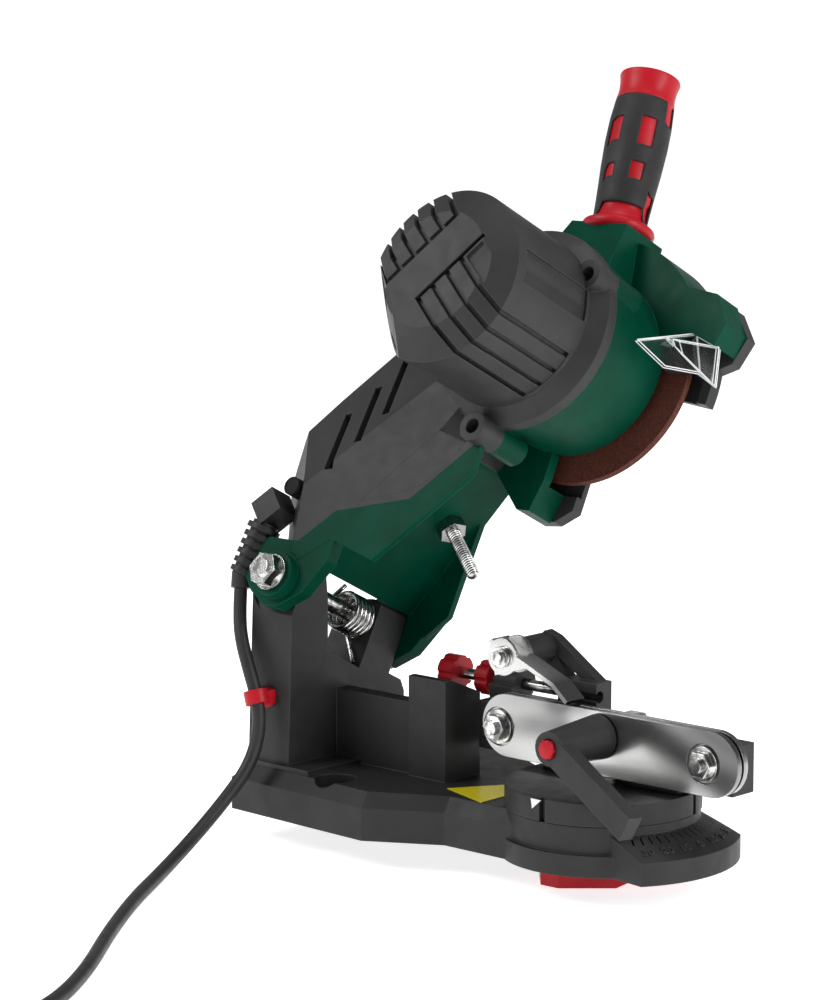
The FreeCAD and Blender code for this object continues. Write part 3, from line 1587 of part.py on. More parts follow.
os.makedirs("parts", exist_ok=True)
save("base_casting", base_casting())
save("base_label", base_label())
save("pivot_bolt", pivot_bolt())
save("pivot_nut", pivot_nut())
save("torsion_spring", torsion_spring())
save("cord_clip", cord_clip())
arm_pieces = (arm_body, motor_shell, wheel_cover, eye_shield, handle_core, handle_grip, handle_stud, rotor_shaft,
              rotor_core, commutator, motor_fan, grinding_wheel, spindle_nut, bearing_plate, motor_stator,
              depth_screw, depth_lock_nut, strain_relief, switch_body, switch_rocker)
for make in arm_pieces:
    save(make.__name__, on_arm(make()))
arm_groups = (cover_screws, shell_screws, wheel_flanges, motor_bearings, carbon_brushes, brush_holders)
for make in arm_groups:
    save(make.__name__, *[on_arm(solid) for solid in make()])
vise_pieces = (turntable, vise_bar, fixed_rail, clamp_rail, clamp_stud, clamp_lever, lever_button, feed_screw,
               feed_knob, lock_knob, stop_bracket, pawl_pin, stop_pawl, table_bolt, lock_handle)
for make in vise_pieces:
    save(make.__name__, make())
save("rail_bolts", *rail_bolts())
save("mains_cord", mains_cord())
save("cord_coil", cord_coil())
save("plug_body", plug_body())
save("plug_pins", *plug_pins())
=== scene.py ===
import bpy
import bmesh
import json
import math
from mathutils import Matrix, Vector


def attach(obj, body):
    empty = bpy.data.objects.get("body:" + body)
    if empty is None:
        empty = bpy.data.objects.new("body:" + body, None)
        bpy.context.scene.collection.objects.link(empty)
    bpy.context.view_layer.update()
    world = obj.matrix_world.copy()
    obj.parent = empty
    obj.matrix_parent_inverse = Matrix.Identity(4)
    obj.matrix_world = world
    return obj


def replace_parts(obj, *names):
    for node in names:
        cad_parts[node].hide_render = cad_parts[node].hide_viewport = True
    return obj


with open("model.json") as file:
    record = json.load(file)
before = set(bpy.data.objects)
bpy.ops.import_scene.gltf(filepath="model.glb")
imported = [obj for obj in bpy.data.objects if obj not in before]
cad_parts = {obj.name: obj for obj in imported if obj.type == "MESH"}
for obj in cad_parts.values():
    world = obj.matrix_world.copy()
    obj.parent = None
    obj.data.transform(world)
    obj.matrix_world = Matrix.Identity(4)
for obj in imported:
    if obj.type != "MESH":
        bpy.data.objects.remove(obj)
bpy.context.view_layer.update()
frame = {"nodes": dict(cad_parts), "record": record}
MM = 0.001


def linked(name, data):
    obj = bpy.data.objects.new(name, data)
    bpy.context.scene.collection.objects.link(obj)
    return obj


# Camera

CAMERA_PLACE = (1.036679, -1.127957, 0.376605)
CAMERA_AIM = (-0.666893, 0.728806, -0.155228)
CAMERA_LENS, CAMERA_SENSOR = 129.6, 36.0
CAMERA_NEAR, CAMERA_FAR = 0.05, 200.0


def place_camera():
    data = bpy.data.cameras.new("camera")
    data.lens = CAMERA_LENS
    data.sensor_width = CAMERA_SENSOR
    data.clip_start = CAMERA_NEAR
    data.clip_end = CAMERA_FAR
    camera = linked("camera", data)
    camera.location = CAMERA_PLACE
    camera.rotation_mode = "QUATERNION"
    camera.rotation_quaternion = Vector(CAMERA_AIM).to_track_quat("-Z", "Y")
    bpy.context.scene.camera = camera


place_camera()


# Cord, in millimetres

CORD_ROUTE = ((-57.1, -39.4, 95.7), (-55.6, -41.8, 86.1), (-51.4, -45.3, 75.4),
              (-44.6, -47.4, 63.0), (-38.8, -48.2, 51.2), (-36.0, -49.5, 40.3),
              (-35.6, -52.6, 29.8), (-35.8, -58.5, 20.6), (-37.0, -67.9, 11.5),
              (-37.5, -80.6, 1.8), (-33.6, -99.8, -6.8), (-18.5, -128.2, -9.5),
              (1.0, -160.0, -9.5), (29.0, -199.5, -9.5), (61.0, -240.5, -9.5),
              (84.0, -278.0, -9.5), (94.0, -316.0, -9.5), (95.0, -340.0, -9.5))
CORD_DIAMETER = 6.0
COIL_CENTRE = (140.16, -359.87)
COIL_HEIGHT = -9.5
COIL_RADIUS = 45.0
COIL_PITCH = 6.6
COIL_TURNS = 7
COIL_START = -179.83
COIL_LAYER = 6.5
COIL_POINTS = 16
PLUG_FACE = (94.57, -385.99, -3.0)
PLUG_LEAD = (0.5, 13.0)


def coil_point(turn):
    """The coil winds in on the floor, climbs at its middle and winds out again on top."""
    half = COIL_TURNS / 2
    radius = COIL_RADIUS - COIL_PITCH * (half - abs(turn - half))
    angle = math.radians(360 * turn + COIL_START)
    rise = COIL_LAYER * min(max(2 * (turn - half) + 0.5, 0), 1)
    return (COIL_CENTRE[0] + radius * math.cos(angle),
            COIL_CENTRE[1] + radius * math.sin(angle), COIL_HEIGHT + rise)


def cord_points():
    points = list(CORD_ROUTE)
    for k in range(COIL_TURNS * COIL_POINTS + 1):
        points.append(coil_point(k / COIL_POINTS))
    x, y, z = PLUG_FACE
    points.append((x + PLUG_LEAD[0], y + PLUG_LEAD[1], z))
    points.append(PLUG_FACE)
    return points


def spline_curve(name, points, diameter):
    """A round wire along the points: its thickness is in their radius, so the box is right too."""
    data = bpy.data.curves.new(name, "CURVE")
    data.dimensions = "3D"
    data.resolution_u = 8
    data.bevel_depth = 1.0
    data.bevel_resolution = 5
    data.use_fill_caps = True
    spline = data.splines.new("NURBS")
    spline.points.add(len(points) - 1)
    for point, (x, y, z) in zip(spline.points, points):
        point.co = (x * MM, y * MM, z * MM, 1.0)
        point.radius = diameter / 2 * MM
    spline.order_u = 3
    spline.use_endpoint_u = True
    return linked(name, data)


cord = spline_curve("flex_cord", cord_points(), CORD_DIAMETER)
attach(cord, "base")
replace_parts(cord, "mains_cord", "cord_coil")


# Materials

def new_material(name):
    material = bpy.data.materials.new(name)
    material.use_nodes = True
    tree = material.node_tree
    return material, tree, tree.nodes["Principled BSDF"]


def object_coords(tree, stretch=None):
    coords = tree.nodes.new("ShaderNodeTexCoord").outputs["Object"]
    if stretch is None:
        return coords
    mapping = tree.nodes.new("ShaderNodeMapping")
    mapping.inputs["Scale"].default_value = stretch
    tree.links.new(coords, mapping.inputs["Vector"])
    return mapping.outputs["Vector"]


def noise(tree, coords, scale, detail=2.0, rough=0.5, twist=0.0):
    node = tree.nodes.new("ShaderNodeTexNoise")
    node.inputs["Scale"].default_value = scale
    node.inputs["Detail"].default_value = detail
    node.inputs["Roughness"].default_value = rough
    node.inputs["Distortion"].default_value = twist
    tree.links.new(coords, node.inputs["Vector"])
    return node.outputs[0]


def ramp(tree, value, stops):
    node = tree.nodes.new("ShaderNodeValToRGB")
    elements = node.color_ramp.elements
    while len(elements) < len(stops):
        elements.new(0.5)
    for element, (place, colour) in zip(elements, stops):
        element.position = place
        element.color = (*colour, 1.0)
    tree.links.new(value, node.inputs["Fac"])
    return node.outputs["Color"]


def spread(tree, value, low, high, start=0.3, end=0.7):
    node = tree.nodes.new("ShaderNodeMapRange")
    node.inputs["From Min"].default_value = start
    node.inputs["From Max"].default_value = end
    node.inputs["To Min"].default_value = low
    node.inputs["To Max"].default_value = high
    tree.links.new(value, node.inputs["Value"])
    return node.outputs["Result"]


def bump(tree, height, strength, distance, normal=None):
    node = tree.nodes.new("ShaderNodeBump")
    node.inputs["Strength"].default_value = strength
    node.inputs["Distance"].default_value = distance
    tree.links.new(height, node.inputs["Height"])
    if normal is not None:
        tree.links.new(normal, node.inputs["Normal"])
    return node.outputs["Normal"]


def soft_edge(tree, radius):
    node = tree.nodes.new("ShaderNodeBevel")
    node.samples = 6
    node.inputs["Radius"].default_value = radius
    return node.outputs["Normal"]


# Mask of the rounded edges, where the moulded finishes paint their highlight.
def edge_mask(tree, normal):
    flat = tree.nodes.new("ShaderNodeNewGeometry").outputs["Normal"]
    node = tree.nodes.new("ShaderNodeVectorMath")
    node.operation = "DOT_PRODUCT"
    tree.links.new(normal, node.inputs[0])
    tree.links.new(flat, node.inputs[1])
    return spread(tree, node.outputs["Value"], 1.0, 0.0, 0.80, 0.995)


def mixed(tree, first, mode="MIX"):
    """A colour mix node with its first colour linked. Input 0 is the share, input 7 the second."""
    node = tree.nodes.new("ShaderNodeMix")
    node.data_type = "RGBA"
    node.blend_type = mode
    tree.links.new(first, node.inputs[6])
    return node


def moulded(name, dark, light, edge_highlight, roughness, grain, gloss=0.5, edge=0.0006):
    """Moulded plastic: drifting tone, fine surface grain, rounded edges with a painted highlight
    that makes them a little lighter.
    """
    material, tree, shader = new_material(name)
    coords = object_coords(tree)
    drift = noise(tree, coords, 38.0, detail=4.0, rough=0.55)
    satin = noise(tree, coords, 160.0, detail=3.0)
    fine = noise(tree, coords, 2600.0, detail=3.0, rough=0.6)
    rounded = soft_edge(tree, edge)
    colour = mixed(tree, ramp(tree, drift, ((0.32, dark), (0.68, light))))
    # Painted highlight: the rounded edges are mixed toward a lighter colour.
    tree.links.new(edge_mask(tree, rounded), colour.inputs[0])
    colour.inputs[7].default_value = (*edge_highlight, 1.0)
    tree.links.new(colour.outputs[2], shader.inputs["Base Color"])
    rough = spread(tree, satin, roughness - 0.05, roughness + 0.06)
    tree.links.new(rough, shader.inputs["Roughness"])
    tree.links.new(bump(tree, fine, grain, 0.00012, rounded), shader.inputs["Normal"])
    shader.inputs["Specular IOR Level"].default_value = gloss
    return material


def plated(name, dark, middle, bright, patch, roughness, stretch=(1.0, 1.0, 1.0), edge=0.0004):
    """Plated steel: blotchy reflections painted into the colour, fine rolling marks, edges rounded
    by the plating.
    """
    material, tree, shader = new_material(name)
    reflection_blotch = noise(tree, object_coords(tree, stretch), patch, detail=2.0, rough=0.45, twist=0.4)
    fine = noise(tree, object_coords(tree), 1500.0, detail=4.0, rough=0.65)
    # Painted reflection: these blotchy dark and bright tones stand in for reflections of the
    # surroundings.
    tone = ramp(tree, reflection_blotch, ((0.38, dark), (0.52, middle), (0.66, bright)))
    speck = ramp(tree, fine, ((0.40, (0.78, 0.78, 0.77)), (0.62, (1.0, 1.0, 1.0))))
    colour = mixed(tree, tone, "MULTIPLY")
    colour.inputs[0].default_value = 0.6
    tree.links.new(speck, colour.inputs[7])
    tree.links.new(colour.outputs[2], shader.inputs["Base Color"])
    tree.links.new(spread(tree, reflection_blotch, roughness + 0.10, roughness), shader.inputs["Roughness"])
    tree.links.new(bump(tree, fine, 0.12, 0.00005, soft_edge(tree, edge)), shader.inputs["Normal"])
    shader.inputs["Metallic"].default_value = 1.0
    return material


def gritty():
    """Vitrified wheel: reddish brown grains of several tones with pores between them."""
    material, tree, shader = new_material("abrasive")
    coords = object_coords(tree)
    grains = tree.nodes.new("ShaderNodeTexVoronoi")
    grains.inputs["Scale"].default_value = 2100.0
    tree.links.new(coords, grains.inputs["Vector"])
    stops = ((0.30, (0.030, 0.010, 0.007)), (0.52, (0.085, 0.022, 0.013)),
             (0.74, (0.19, 0.065, 0.04)))
    tone = ramp(tree, noise(tree, coords, 1700.0, detail=4.0, rough=0.7), stops)
    tree.links.new(tone, shader.inputs["Base Color"])
    tree.links.new(spread(tree, noise(tree, coords, 500.0), 0.72, 0.92), shader.inputs["Roughness"])
    grain = bump(tree, grains.outputs["Distance"], 0.55, 0.00035)
    tree.links.new(grain, shader.inputs["Normal"])
    shader.inputs["Specular IOR Level"].default_value = 0.25
    return material


def clear_sheet():
    """Clear bent plastic: fine haze and scuffs on a polished face."""
    material, tree, shader = new_material("clear_plastic")
    haze = noise(tree, object_coords(tree), 220.0, detail=5.0, rough=0.6)
    tone = ramp(tree, haze, ((0.3, (0.90, 0.93, 0.94)), (0.7, (1.0, 1.0, 1.0))))
    tree.links.new(tone, shader.inputs["Base Color"])
    tree.links.new(spread(tree, haze, 0.01, 0.05), shader.inputs["Roughness"])
    tree.links.new(bump(tree, haze, 0.02, 0.00002), shader.inputs["Normal"])
    shader.inputs["Transmission Weight"].default_value = 1.0
    shader.inputs["IOR"].default_value = 1.42
    shader.inputs["Alpha"].default_value = 0.22
    return material


def printed_label():
    """Yellow film: slight mottling of the print and a satin laminate."""
    material, tree, shader = new_material("label_yellow")
    coords = object_coords(tree)
    tone = ramp(tree, noise(tree, coords, 900.0, detail=4.0),
                ((0.3, (0.62, 0.52, 0.006)), (0.7, (0.76, 0.66, 0.012))))
    tree.links.new(tone, shader.inputs["Base Color"])
    tree.links.new(spread(tree, noise(tree, coords, 300.0), 0.30, 0.42), shader.inputs["Roughness"])
    tree.links.new(bump(tree, noise(tree, coords, 1400.0), 0.08, 0.0001), shader.inputs["Normal"])
    return material


def grey(level):
    return (level, level, level)


# In each moulded finish the third colour is the painted highlight on its edges.
MATERIALS = {
    # dark_recess is near-black: painted shade for recesses.
    "dark_recess": moulded("dark_recess", grey(0.004), grey(0.008), grey(0.02), 0.6, 0.2, 0.2),
    "cast_black": moulded("cast_black", (0.014, 0.0142, 0.0145), (0.022, 0.0222, 0.0225),
                          grey(0.050), 0.50, 0.22, 0.30, 0.0007),
    "shell_black": moulded("shell_black", (0.018, 0.0182, 0.0185), (0.028, 0.0282, 0.0285),
                           grey(0.055), 0.50, 0.25, 0.30, 0.0007),
    "housing_green": moulded("housing_green", (0.0, 0.034, 0.018), (0.0, 0.050, 0.027),
                             (0.002, 0.090, 0.050), 0.42, 0.08, 0.07, 0.0007),
    "red_plastic": moulded("red_plastic", (0.36, 0.005, 0.012), (0.44, 0.008, 0.017),
                           (0.52, 0.02, 0.03), 0.38, 0.10, 0.22, 0.0005),
    "grip_rubber": moulded("grip_rubber", grey(0.010), grey(0.020), grey(0.040),
                           0.60, 0.35, 0.35, 0.0006),
    "cord_rubber": moulded("cord_rubber", (0.012, 0.012, 0.0125), (0.020, 0.020, 0.0205),
                           grey(0.035), 0.50, 0.20, 0.40, 0.0004),
    "zinc_steel": plated("zinc_steel", grey(0.16), (0.58, 0.58, 0.575), (0.78, 0.78, 0.77),
                         14.0, 0.17, (1.0, 1.0, 1.3)),
    "bright_steel": plated("bright_steel", grey(0.20), (0.60, 0.60, 0.59), (0.92, 0.92, 0.91),
                           220.0, 0.14),
    "abrasive": gritty(),
    "clear_plastic": clear_sheet(),
    "label_yellow": printed_label(),
    "copper": plated("copper", (0.30, 0.10, 0.05), (0.60, 0.25, 0.12), (0.85, 0.42, 0.24),
                     700.0, 0.25),
    "core_steel": plated("core_steel", grey(0.05), (0.12, 0.12, 0.125), grey(0.22), 300.0, 0.38),
    "carbon": moulded("carbon", grey(0.006), grey(0.014), grey(0.03), 0.55, 0.4),
    "pin_brass": plated("pin_brass", (0.35, 0.30, 0.16), (0.66, 0.60, 0.38), (0.86, 0.80, 0.58),
                        260.0, 0.18),
}


def finish_nodes():
    slots = {part["node"]: part["material_slot"] for part in frame["record"]["subparts"]}
    for name, node in frame["nodes"].items():
        material = MATERIALS[slots[name]]
        if not node.material_slots:
            node.data.materials.append(material)
        for slot in node.material_slots:
            slot.material = material


finish_nodes()
cord.data.materials.append(MATERIALS["cord_rubber"])


# Helpers for the pieces built here

def mesh_piece(name, points, faces, slot, body, smooth=True):
    data = bpy.data.meshes.new(name)
    data.from_pydata([tuple(c * MM for c in point) for point in points], [], faces)
    data.validate()
    if smooth:
        data.shade_smooth()
    data.materials.append(MATERIALS[slot])
    obj = linked(name, data)
    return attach(obj, body)


def axes_of(start, end):
    way = (Vector(end) - Vector(start)).normalized()
    side = way.orthogonal().normalized()
    return way, side, way.cross(side)


def ring(centre, side, up, radius, around):
    """Points of a circle round a centre."""
    points = []
    for j in range(around):
        a = 2 * math.pi * j / around
        points.append(tuple(centre + (side * math.cos(a) + up * math.sin(a)) * radius))
    return points


def band(low, high, around):
    """Faces between two rings of points, given the number of each ring's first point."""
    faces = []
    for j in range(around):
        n = (j + 1) % around
        faces.append((low + j, low + n, high + n, high + j))
    return faces


def prism_faces(count):
    """Faces of a prism whose two ends are listed one after the other."""
    ends = [tuple(range(count - 1, -1, -1)), tuple(range(count, 2 * count))]
    return ends + band(0, count, count)


def turned(name, start, end, profile, slot, body, around=48):
    """A piece turned about the line from start to end: profile holds (radius, distance)."""
    way, side, up = axes_of(start, end)
    points, faces = [], []
    count = len(profile)
    for k, (radius, along) in enumerate(profile):
        points += ring(Vector(start) + way * along, side, up, radius, around)
        faces += band(k * around, (k + 1) % count * around, around)
    obj = mesh_piece(name, points, faces, slot, body)
    obj.data.set_sharp_from_angle(angle=math.radians(40))
    return obj


PIVOT = Vector((-33.0, 0.0, 83.3))
ARM_U = Vector((1.0, 0.0, 0.0))
ARM_V = Vector((0.0, 0.4539905, 0.8910065))
ARM_H = Vector((0.0, -0.8910065, 0.4539905))


def on_arm(u, v, h):
    """A place from the pivot: u forwards and v upwards in the wheel's plane, h along the motor."""
    return PIVOT + ARM_U * u + ARM_V * v + ARM_H * h


# Depth screw

DEPTH_SCREW_ENDS = ((30.0, 15.805, 103.305), (-15.638, 34.858, 140.697))
DEPTH_SCREW_RADIUS, DEPTH_SCREW_PITCH = 3.0, 1.25
THREAD_DEPTH = 0.40
THREAD_STEPS = 10


def thread_steel():
    return plated("thread_steel", grey(0.24), (0.55, 0.55, 0.54), (0.80, 0.80, 0.79),
                  220.0, 0.22, edge=0.00003)


def threaded_rod(name, start, end, radius, pitch, body, node):
    """A rod with a rolled thread: rings along its axis, whose radius follows the helix."""
    way, side, up = axes_of(start, end)
    length = (Vector(end) - Vector(start)).length
    around, steps = 32, int(length / pitch * THREAD_STEPS)
    depth = THREAD_DEPTH * pitch
    points, faces = [], []
    for k in range(steps + 1):
        along = length * k / steps
        for j in range(around):
            phase = (along / pitch - j / around) % 1.0
            r = radius - depth * min(abs(2 * phase - 1) * 1.6, 1.0)
            if along < radius:
                r = min(r, math.sqrt(max(radius * radius - (radius - along) ** 2, 0.01)))
            if along > length - pitch:
                r = min(r, radius - depth)
            a = 2 * math.pi * j / around
            out = (side * math.cos(a) + up * math.sin(a)) * r
            points.append(tuple(Vector(start) + way * along + out))
    for k in range(steps):
        faces += band(k * around, (k + 1) * around, around)
    faces.append(tuple(range(around - 1, -1, -1)))
    faces.append(tuple(steps * around + j for j in range(around)))
    obj = mesh_piece(name, points, faces, "bright_steel", body)
    obj.data.materials[0] = thread_steel()
    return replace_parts(obj, node)


threaded_rod("depth_screw_thread", *DEPTH_SCREW_ENDS, DEPTH_SCREW_RADIUS, DEPTH_SCREW_PITCH,
             "depth_stop", "depth_screw")


# Motor

WHEEL_CENTRE = (87.6, 123.6)
BAND_ANGLE = math.radians(51)
BAND_MIDDLE, BAND_HALF = 4.0, 8.4
FIN_PITCH, FIN_GAP, BAND_GAP = 8.2, 2.3, 2.0
FIN_DEPTH = 4.0
RIDGE_START, RIDGE_FOOT, UPPER_START = 54.0, 51.2, 86.0
JACKET_RADIUS, JACKET_START, JACKET_BEND = 38.2, 44.0, 99.0
JACKET_TOP, JACKET_FACE = 106.0, 25.8
JACKET_SLACK = 0.05
FLOOR_RADIUS, FLOOR_BEND, FLOOR_TOP, FLOOR_FACE = 36.15, 97.0, 103.3, 24.4
POT_RADIUS, POT_BEND, POT_TOP, POT_FACE = 36.05, 87.0, 103.05, 24.05
SLOPE_ANGLE, SLOPE_HALF, SLOPE_RISE = math.radians(214), 40.0, 0.5
PANEL_ANGLE, PANEL_DEPTH = math.radians(14.5), 2.0
FAR = 60.0


def head_point(x, y, h):
    return on_arm(WHEEL_CENTRE[0] + x, WHEEL_CENTRE[1] + y, h)


def revolved(profile, around=144):
    """A closed ring or cap: each (radius, height) goes round the motor's axis, which closes it."""
    points, faces, rings = [], [], []
    for radius, height in profile:
        if radius < 0.01:
            rings.append([len(points)])
            points.append((0.0, 0.0, height))
            continue
        rings.append(list(range(len(points), len(points) + around)))
        for j in range(around):
            a = 2 * math.pi * j / around
            points.append((radius * math.cos(a), radius * math.sin(a), height))
    for first, second in zip(rings, rings[1:] + rings[:1]):
        if len(first) == 1 and len(second) == 1:
            continue
        for j in range(around):
            n = (j + 1) % around
            if len(first) == 1:
                faces.append((first[0], second[n], second[j]))
            elif len(second) == 1:
                faces.append((first[j], first[n], second[0]))
            else:
                faces.append((first[j], first[n], second[n], second[j]))
    return points, faces


def block(p, q, h, angle):
    """A box between two values of p, q and h, with p and q turned about the motor's axis."""
    points = []
    for z in h:
        for x, y in ((p[0], q[0]), (p[1], q[0]), (p[1], q[1]), (p[0], q[1])):
            points.append((x * math.cos(angle) - y * math.sin(angle),
                           x * math.sin(angle) + y * math.cos(angle), z))
    return points, prism_faces(4)


def wedge(section, half, angle):
    """A prism across the motor: section holds (distance along the angle, height)."""
    points = []
    for side in (-half, half):
        for out, height in section:
            points.append((out * math.cos(angle) - side * math.sin(angle),
                           out * math.sin(angle) + side * math.cos(angle), height))
    return points, prism_faces(len(section))


def loose_mesh(name, solid):
    points, faces = solid
    data = bpy.data.meshes.new(name)
    data.from_pydata(points, [], faces)
    return linked(name, data)


def carved(name, solid, cutters, slot, body):
    """The solid with each cutter taken out, moved from the motor's own axes to the arm."""
    whole = loose_mesh(name, solid)
    for index, cutter in enumerate(cutters):
        tool = loose_mesh(f"{name}_tool_{index}", cutter)
        cut = whole.modifiers.new(f"cut_{index}", "BOOLEAN")
        cut.operation = "DIFFERENCE"
        cut.solver = "EXACT"
        cut.object = tool
    bpy.context.view_layer.update()
    depsgraph = bpy.context.evaluated_depsgraph_get()
    mesh = bpy.data.meshes.new_from_object(whole.evaluated_get(depsgraph))
    for modifier in list(whole.modifiers):
        tool = modifier.object
        whole.modifiers.remove(modifier)
        bpy.data.objects.remove(tool)
    bpy.data.objects.remove(whole)
    for vertex in mesh.vertices:
        vertex.co = head_point(*vertex.co) * MM
    mesh.flip_normals()
    mesh.shade_smooth()
    mesh.set_sharp_from_angle(angle=math.radians(28))
    mesh.materials.append(MATERIALS[slot])
    obj = linked(name, mesh)
    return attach(obj, body)


def slope_cut(rise):
    """Takes the corner off the cap on the side that faces down the arm."""
    section = ((40.0, 83.6 + rise), (22.5, 106.6 + rise), (22.5, 130.0), (60.0, 130.0),
               (60.0, 83.6 + rise))
    return wedge(section, SLOPE_HALF, SLOPE_ANGLE)


def motor_floor():
    """Skin over the motor's pot, which shows at the bottom of the grooves."""
    profile = ((POT_RADIUS, JACKET_START), (FLOOR_RADIUS, JACKET_START),
               (FLOOR_RADIUS, FLOOR_BEND), (FLOOR_FACE, FLOOR_TOP), (0.0, FLOOR_TOP),
               (0.0, POT_TOP), (POT_FACE, POT_TOP), (POT_RADIUS, POT_BEND))
    return carved("motor_floor", revolved(profile), [slope_cut(0.0)], "shell_black", "arm")


def grooves(places, q, start):
    """One groove at each place, as wide as the gap between fins, from a height upwards."""
    half = FIN_GAP / 2
    above = JACKET_TOP + 5
    return [block((k * FIN_PITCH - half, k * FIN_PITCH + half), q, (start, above), BAND_ANGLE)
            for k in places]


def motor_jacket():
    """Outer shell of the motor: fins above and below a plain band, a side panel, a cut corner."""
    inner = FLOOR_RADIUS - JACKET_SLACK
    profile = ((inner, JACKET_START), (JACKET_RADIUS, JACKET_START),
               (JACKET_RADIUS, JACKET_BEND), (JACKET_FACE, JACKET_TOP), (0.0, JACKET_TOP),
               (0.0, FLOOR_TOP - JACKET_SLACK),
               (FLOOR_FACE - JACKET_SLACK, FLOOR_TOP - JACKET_SLACK),
               (inner, FLOOR_BEND - JACKET_SLACK))
    low, high = BAND_MIDDLE - BAND_HALF, BAND_MIDDLE + BAND_HALF
    above = JACKET_TOP + 5
    face = (FLOOR_TOP - FIN_DEPTH, above)
    edge = 1.5 * FIN_PITCH + FIN_GAP / 2
    wide = 2.5 * FIN_PITCH + FIN_GAP / 2
    cutters = grooves((-1.5, -0.5, 0.5, 1.5), (-FAR, low - BAND_GAP / 2), RIDGE_FOOT)
    cutters.append(block((-edge, edge), (-FAR, -POT_RADIUS / 2), (RIDGE_FOOT, RIDGE_START),
                         BAND_ANGLE))
    cutters.append(block((-edge, 26.0), (low - BAND_GAP, low), face, BAND_ANGLE))
    cutters += grooves((-2.5, -1.5, -0.5, 0.5, 1.5, 2.5), (high + BAND_GAP / 2, FAR), UPPER_START)
    cutters.append(block((-wide, wide), (high, high + BAND_GAP), face, BAND_ANGLE))
    cutters.append(block((edge + 1.2, edge + 10.5), (-FAR, low - BAND_GAP - 1.0),
                         (JACKET_TOP - 1.3, above), BAND_ANGLE))
    cutters.append(slope_cut(SLOPE_RISE))
    cutters.append(block((JACKET_RADIUS - PANEL_DEPTH, FAR), (-7.0, 7.4), (50.5, 94.0),
                         PANEL_ANGLE))
    return carved("motor_jacket", revolved(profile), cutters, "shell_black", "arm")


motor_floor()
motor_jacket()


# Handle

HANDLE_FOOT, HANDLE_TIP = (47.6, 88.724, 247.519), (38.338, 122.97, 314.731)
HANDLE_FLANGE = ((0.05, -1.5), (12.0, -1.5), (14.6, -1.2), (15.9, 0.0), (16.3, 1.5), (15.8, 2.9),
                 (14.2, 3.8), (12.4, 4.4), (11.3, 6.0), (10.9, 10.0), (10.8, 13.0))
HANDLE_CAP = ((12.6, 62.0), (13.0, 62.6), (12.7, 64.0), (12.5, 66.5), (12.7, 69.5), (13.2, 72.3),
              (13.5, 73.6), (13.3, 74.3), (12.4, 74.7), (0.05, 74.7))
SLEEVE_STATIONS = (15.0, 20.0, 25.0, 30.0, 36.0, 42.0, 47.0, 52.0, 57.0, 61.0)
GRIP_SHAPE = ((4.0, 12.0), (11.0, 12.2), (20.0, 12.7), (30.0, 13.4), (42.0, 13.9), (52.0, 13.8),
              (62.5, 13.0))
GRIP_FRONT = (989.079, -1216.681, 129.086)
GRIP_LOW, GRIP_TOP, GRIP_SCALLOP = 10.8, 62.5, 5.8
GRIP_AROUND, GRIP_STEPS = 120, 58
GRIP_SKIN = 0.8
GRIP_WINDOWS = ((1, 29, 38.5, 51.5), (-67, -35, 39.5, 51.0), (-4, 24, 22.0, 30.0),
                (-59, -35, 22.5, 28.5), (49, 77, 52.5, 63.0), (49, 74, 12.0, 22.5),
                (105, 135, 30.0, 45.0), (150, 180, 30.0, 45.0), (-135, -105, 30.0, 45.0),
                (-180, -150, 30.0, 45.0))


def grip_radius(along):
    for (low, first), (high, last) in zip(GRIP_SHAPE, GRIP_SHAPE[1:]):
        if along <= high:
            share = max(0.0, (along - low) / (high - low))
            return first + (last - first) * share
    return GRIP_SHAPE[-1][1]


def handle_core():
    """Red handle: flange, neck, the sleeve that shows through the grip's windows, flared cap."""
    sleeve = tuple((grip_radius(s) - GRIP_SKIN, s) for s in SLEEVE_STATIONS)
    obj = turned("handle_red", HANDLE_FOOT, HANDLE_TIP, HANDLE_FLANGE + sleeve + HANDLE_CAP,
                 "red_plastic", "arm")
    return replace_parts(obj, "handle_core")


def grip_start(angle):
    """Where the grip begins above the flange: scalloped on two sides of the red neck."""
    share = min(max((abs(angle + 4) - 46) / 14, 0.0), 1.0)
    if abs(angle + 4) > 150:
        share = 1.0 - share
    return GRIP_LOW - GRIP_SCALLOP * share * share * (3 - 2 * share)


def in_window(angle, along):
    return any(a <= angle <= b and low <= along <= high for a, b, low, high in GRIP_WINDOWS)


def handle_grip():
    """Rubber grip: a barrel with windows, scalloped where the red neck comes out of it."""
    way = (Vector(HANDLE_TIP) - Vector(HANDLE_FOOT)).normalized()
    front = Vector(GRIP_FRONT)
    front = (front - way * front.dot(way)).normalized()
    right = way.cross(front)
    points, faces = [], []
    for k in range(GRIP_STEPS + 1):
        for j in range(GRIP_AROUND):
            angle = 360 * j / GRIP_AROUND - 180
            low = grip_start(angle)
            along = low + (GRIP_TOP - low) * k / GRIP_STEPS
            a = math.radians(angle)
            radius = grip_radius(along) - (0.5 if k in (0, GRIP_STEPS) else 0.0)
            points.append(tuple(Vector(HANDLE_FOOT) + way * along
                                + (front * math.cos(a) + right * math.sin(a)) * radius))
    for k in range(GRIP_STEPS):
        along = GRIP_LOW + (GRIP_TOP - GRIP_LOW) * (k + 0.5) / GRIP_STEPS
        for j, face in enumerate(band(k * GRIP_AROUND, (k + 1) * GRIP_AROUND, GRIP_AROUND)):
            if not in_window(360 * (j + 0.5) / GRIP_AROUND - 180, along):
                faces.append(face)
    obj = mesh_piece("handle_rubber", points, faces, "grip_rubber", "arm")
    skin = obj.modifiers.new("skin", "SOLIDIFY")
    skin.thickness = GRIP_SKIN * 0.96 * MM
    skin.offset = -1.0
    obj.data.set_sharp_from_angle(angle=math.radians(40))
    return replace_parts(obj, "handle_grip")


handle_core()
handle_grip()


# Small pieces on the arm and the lever

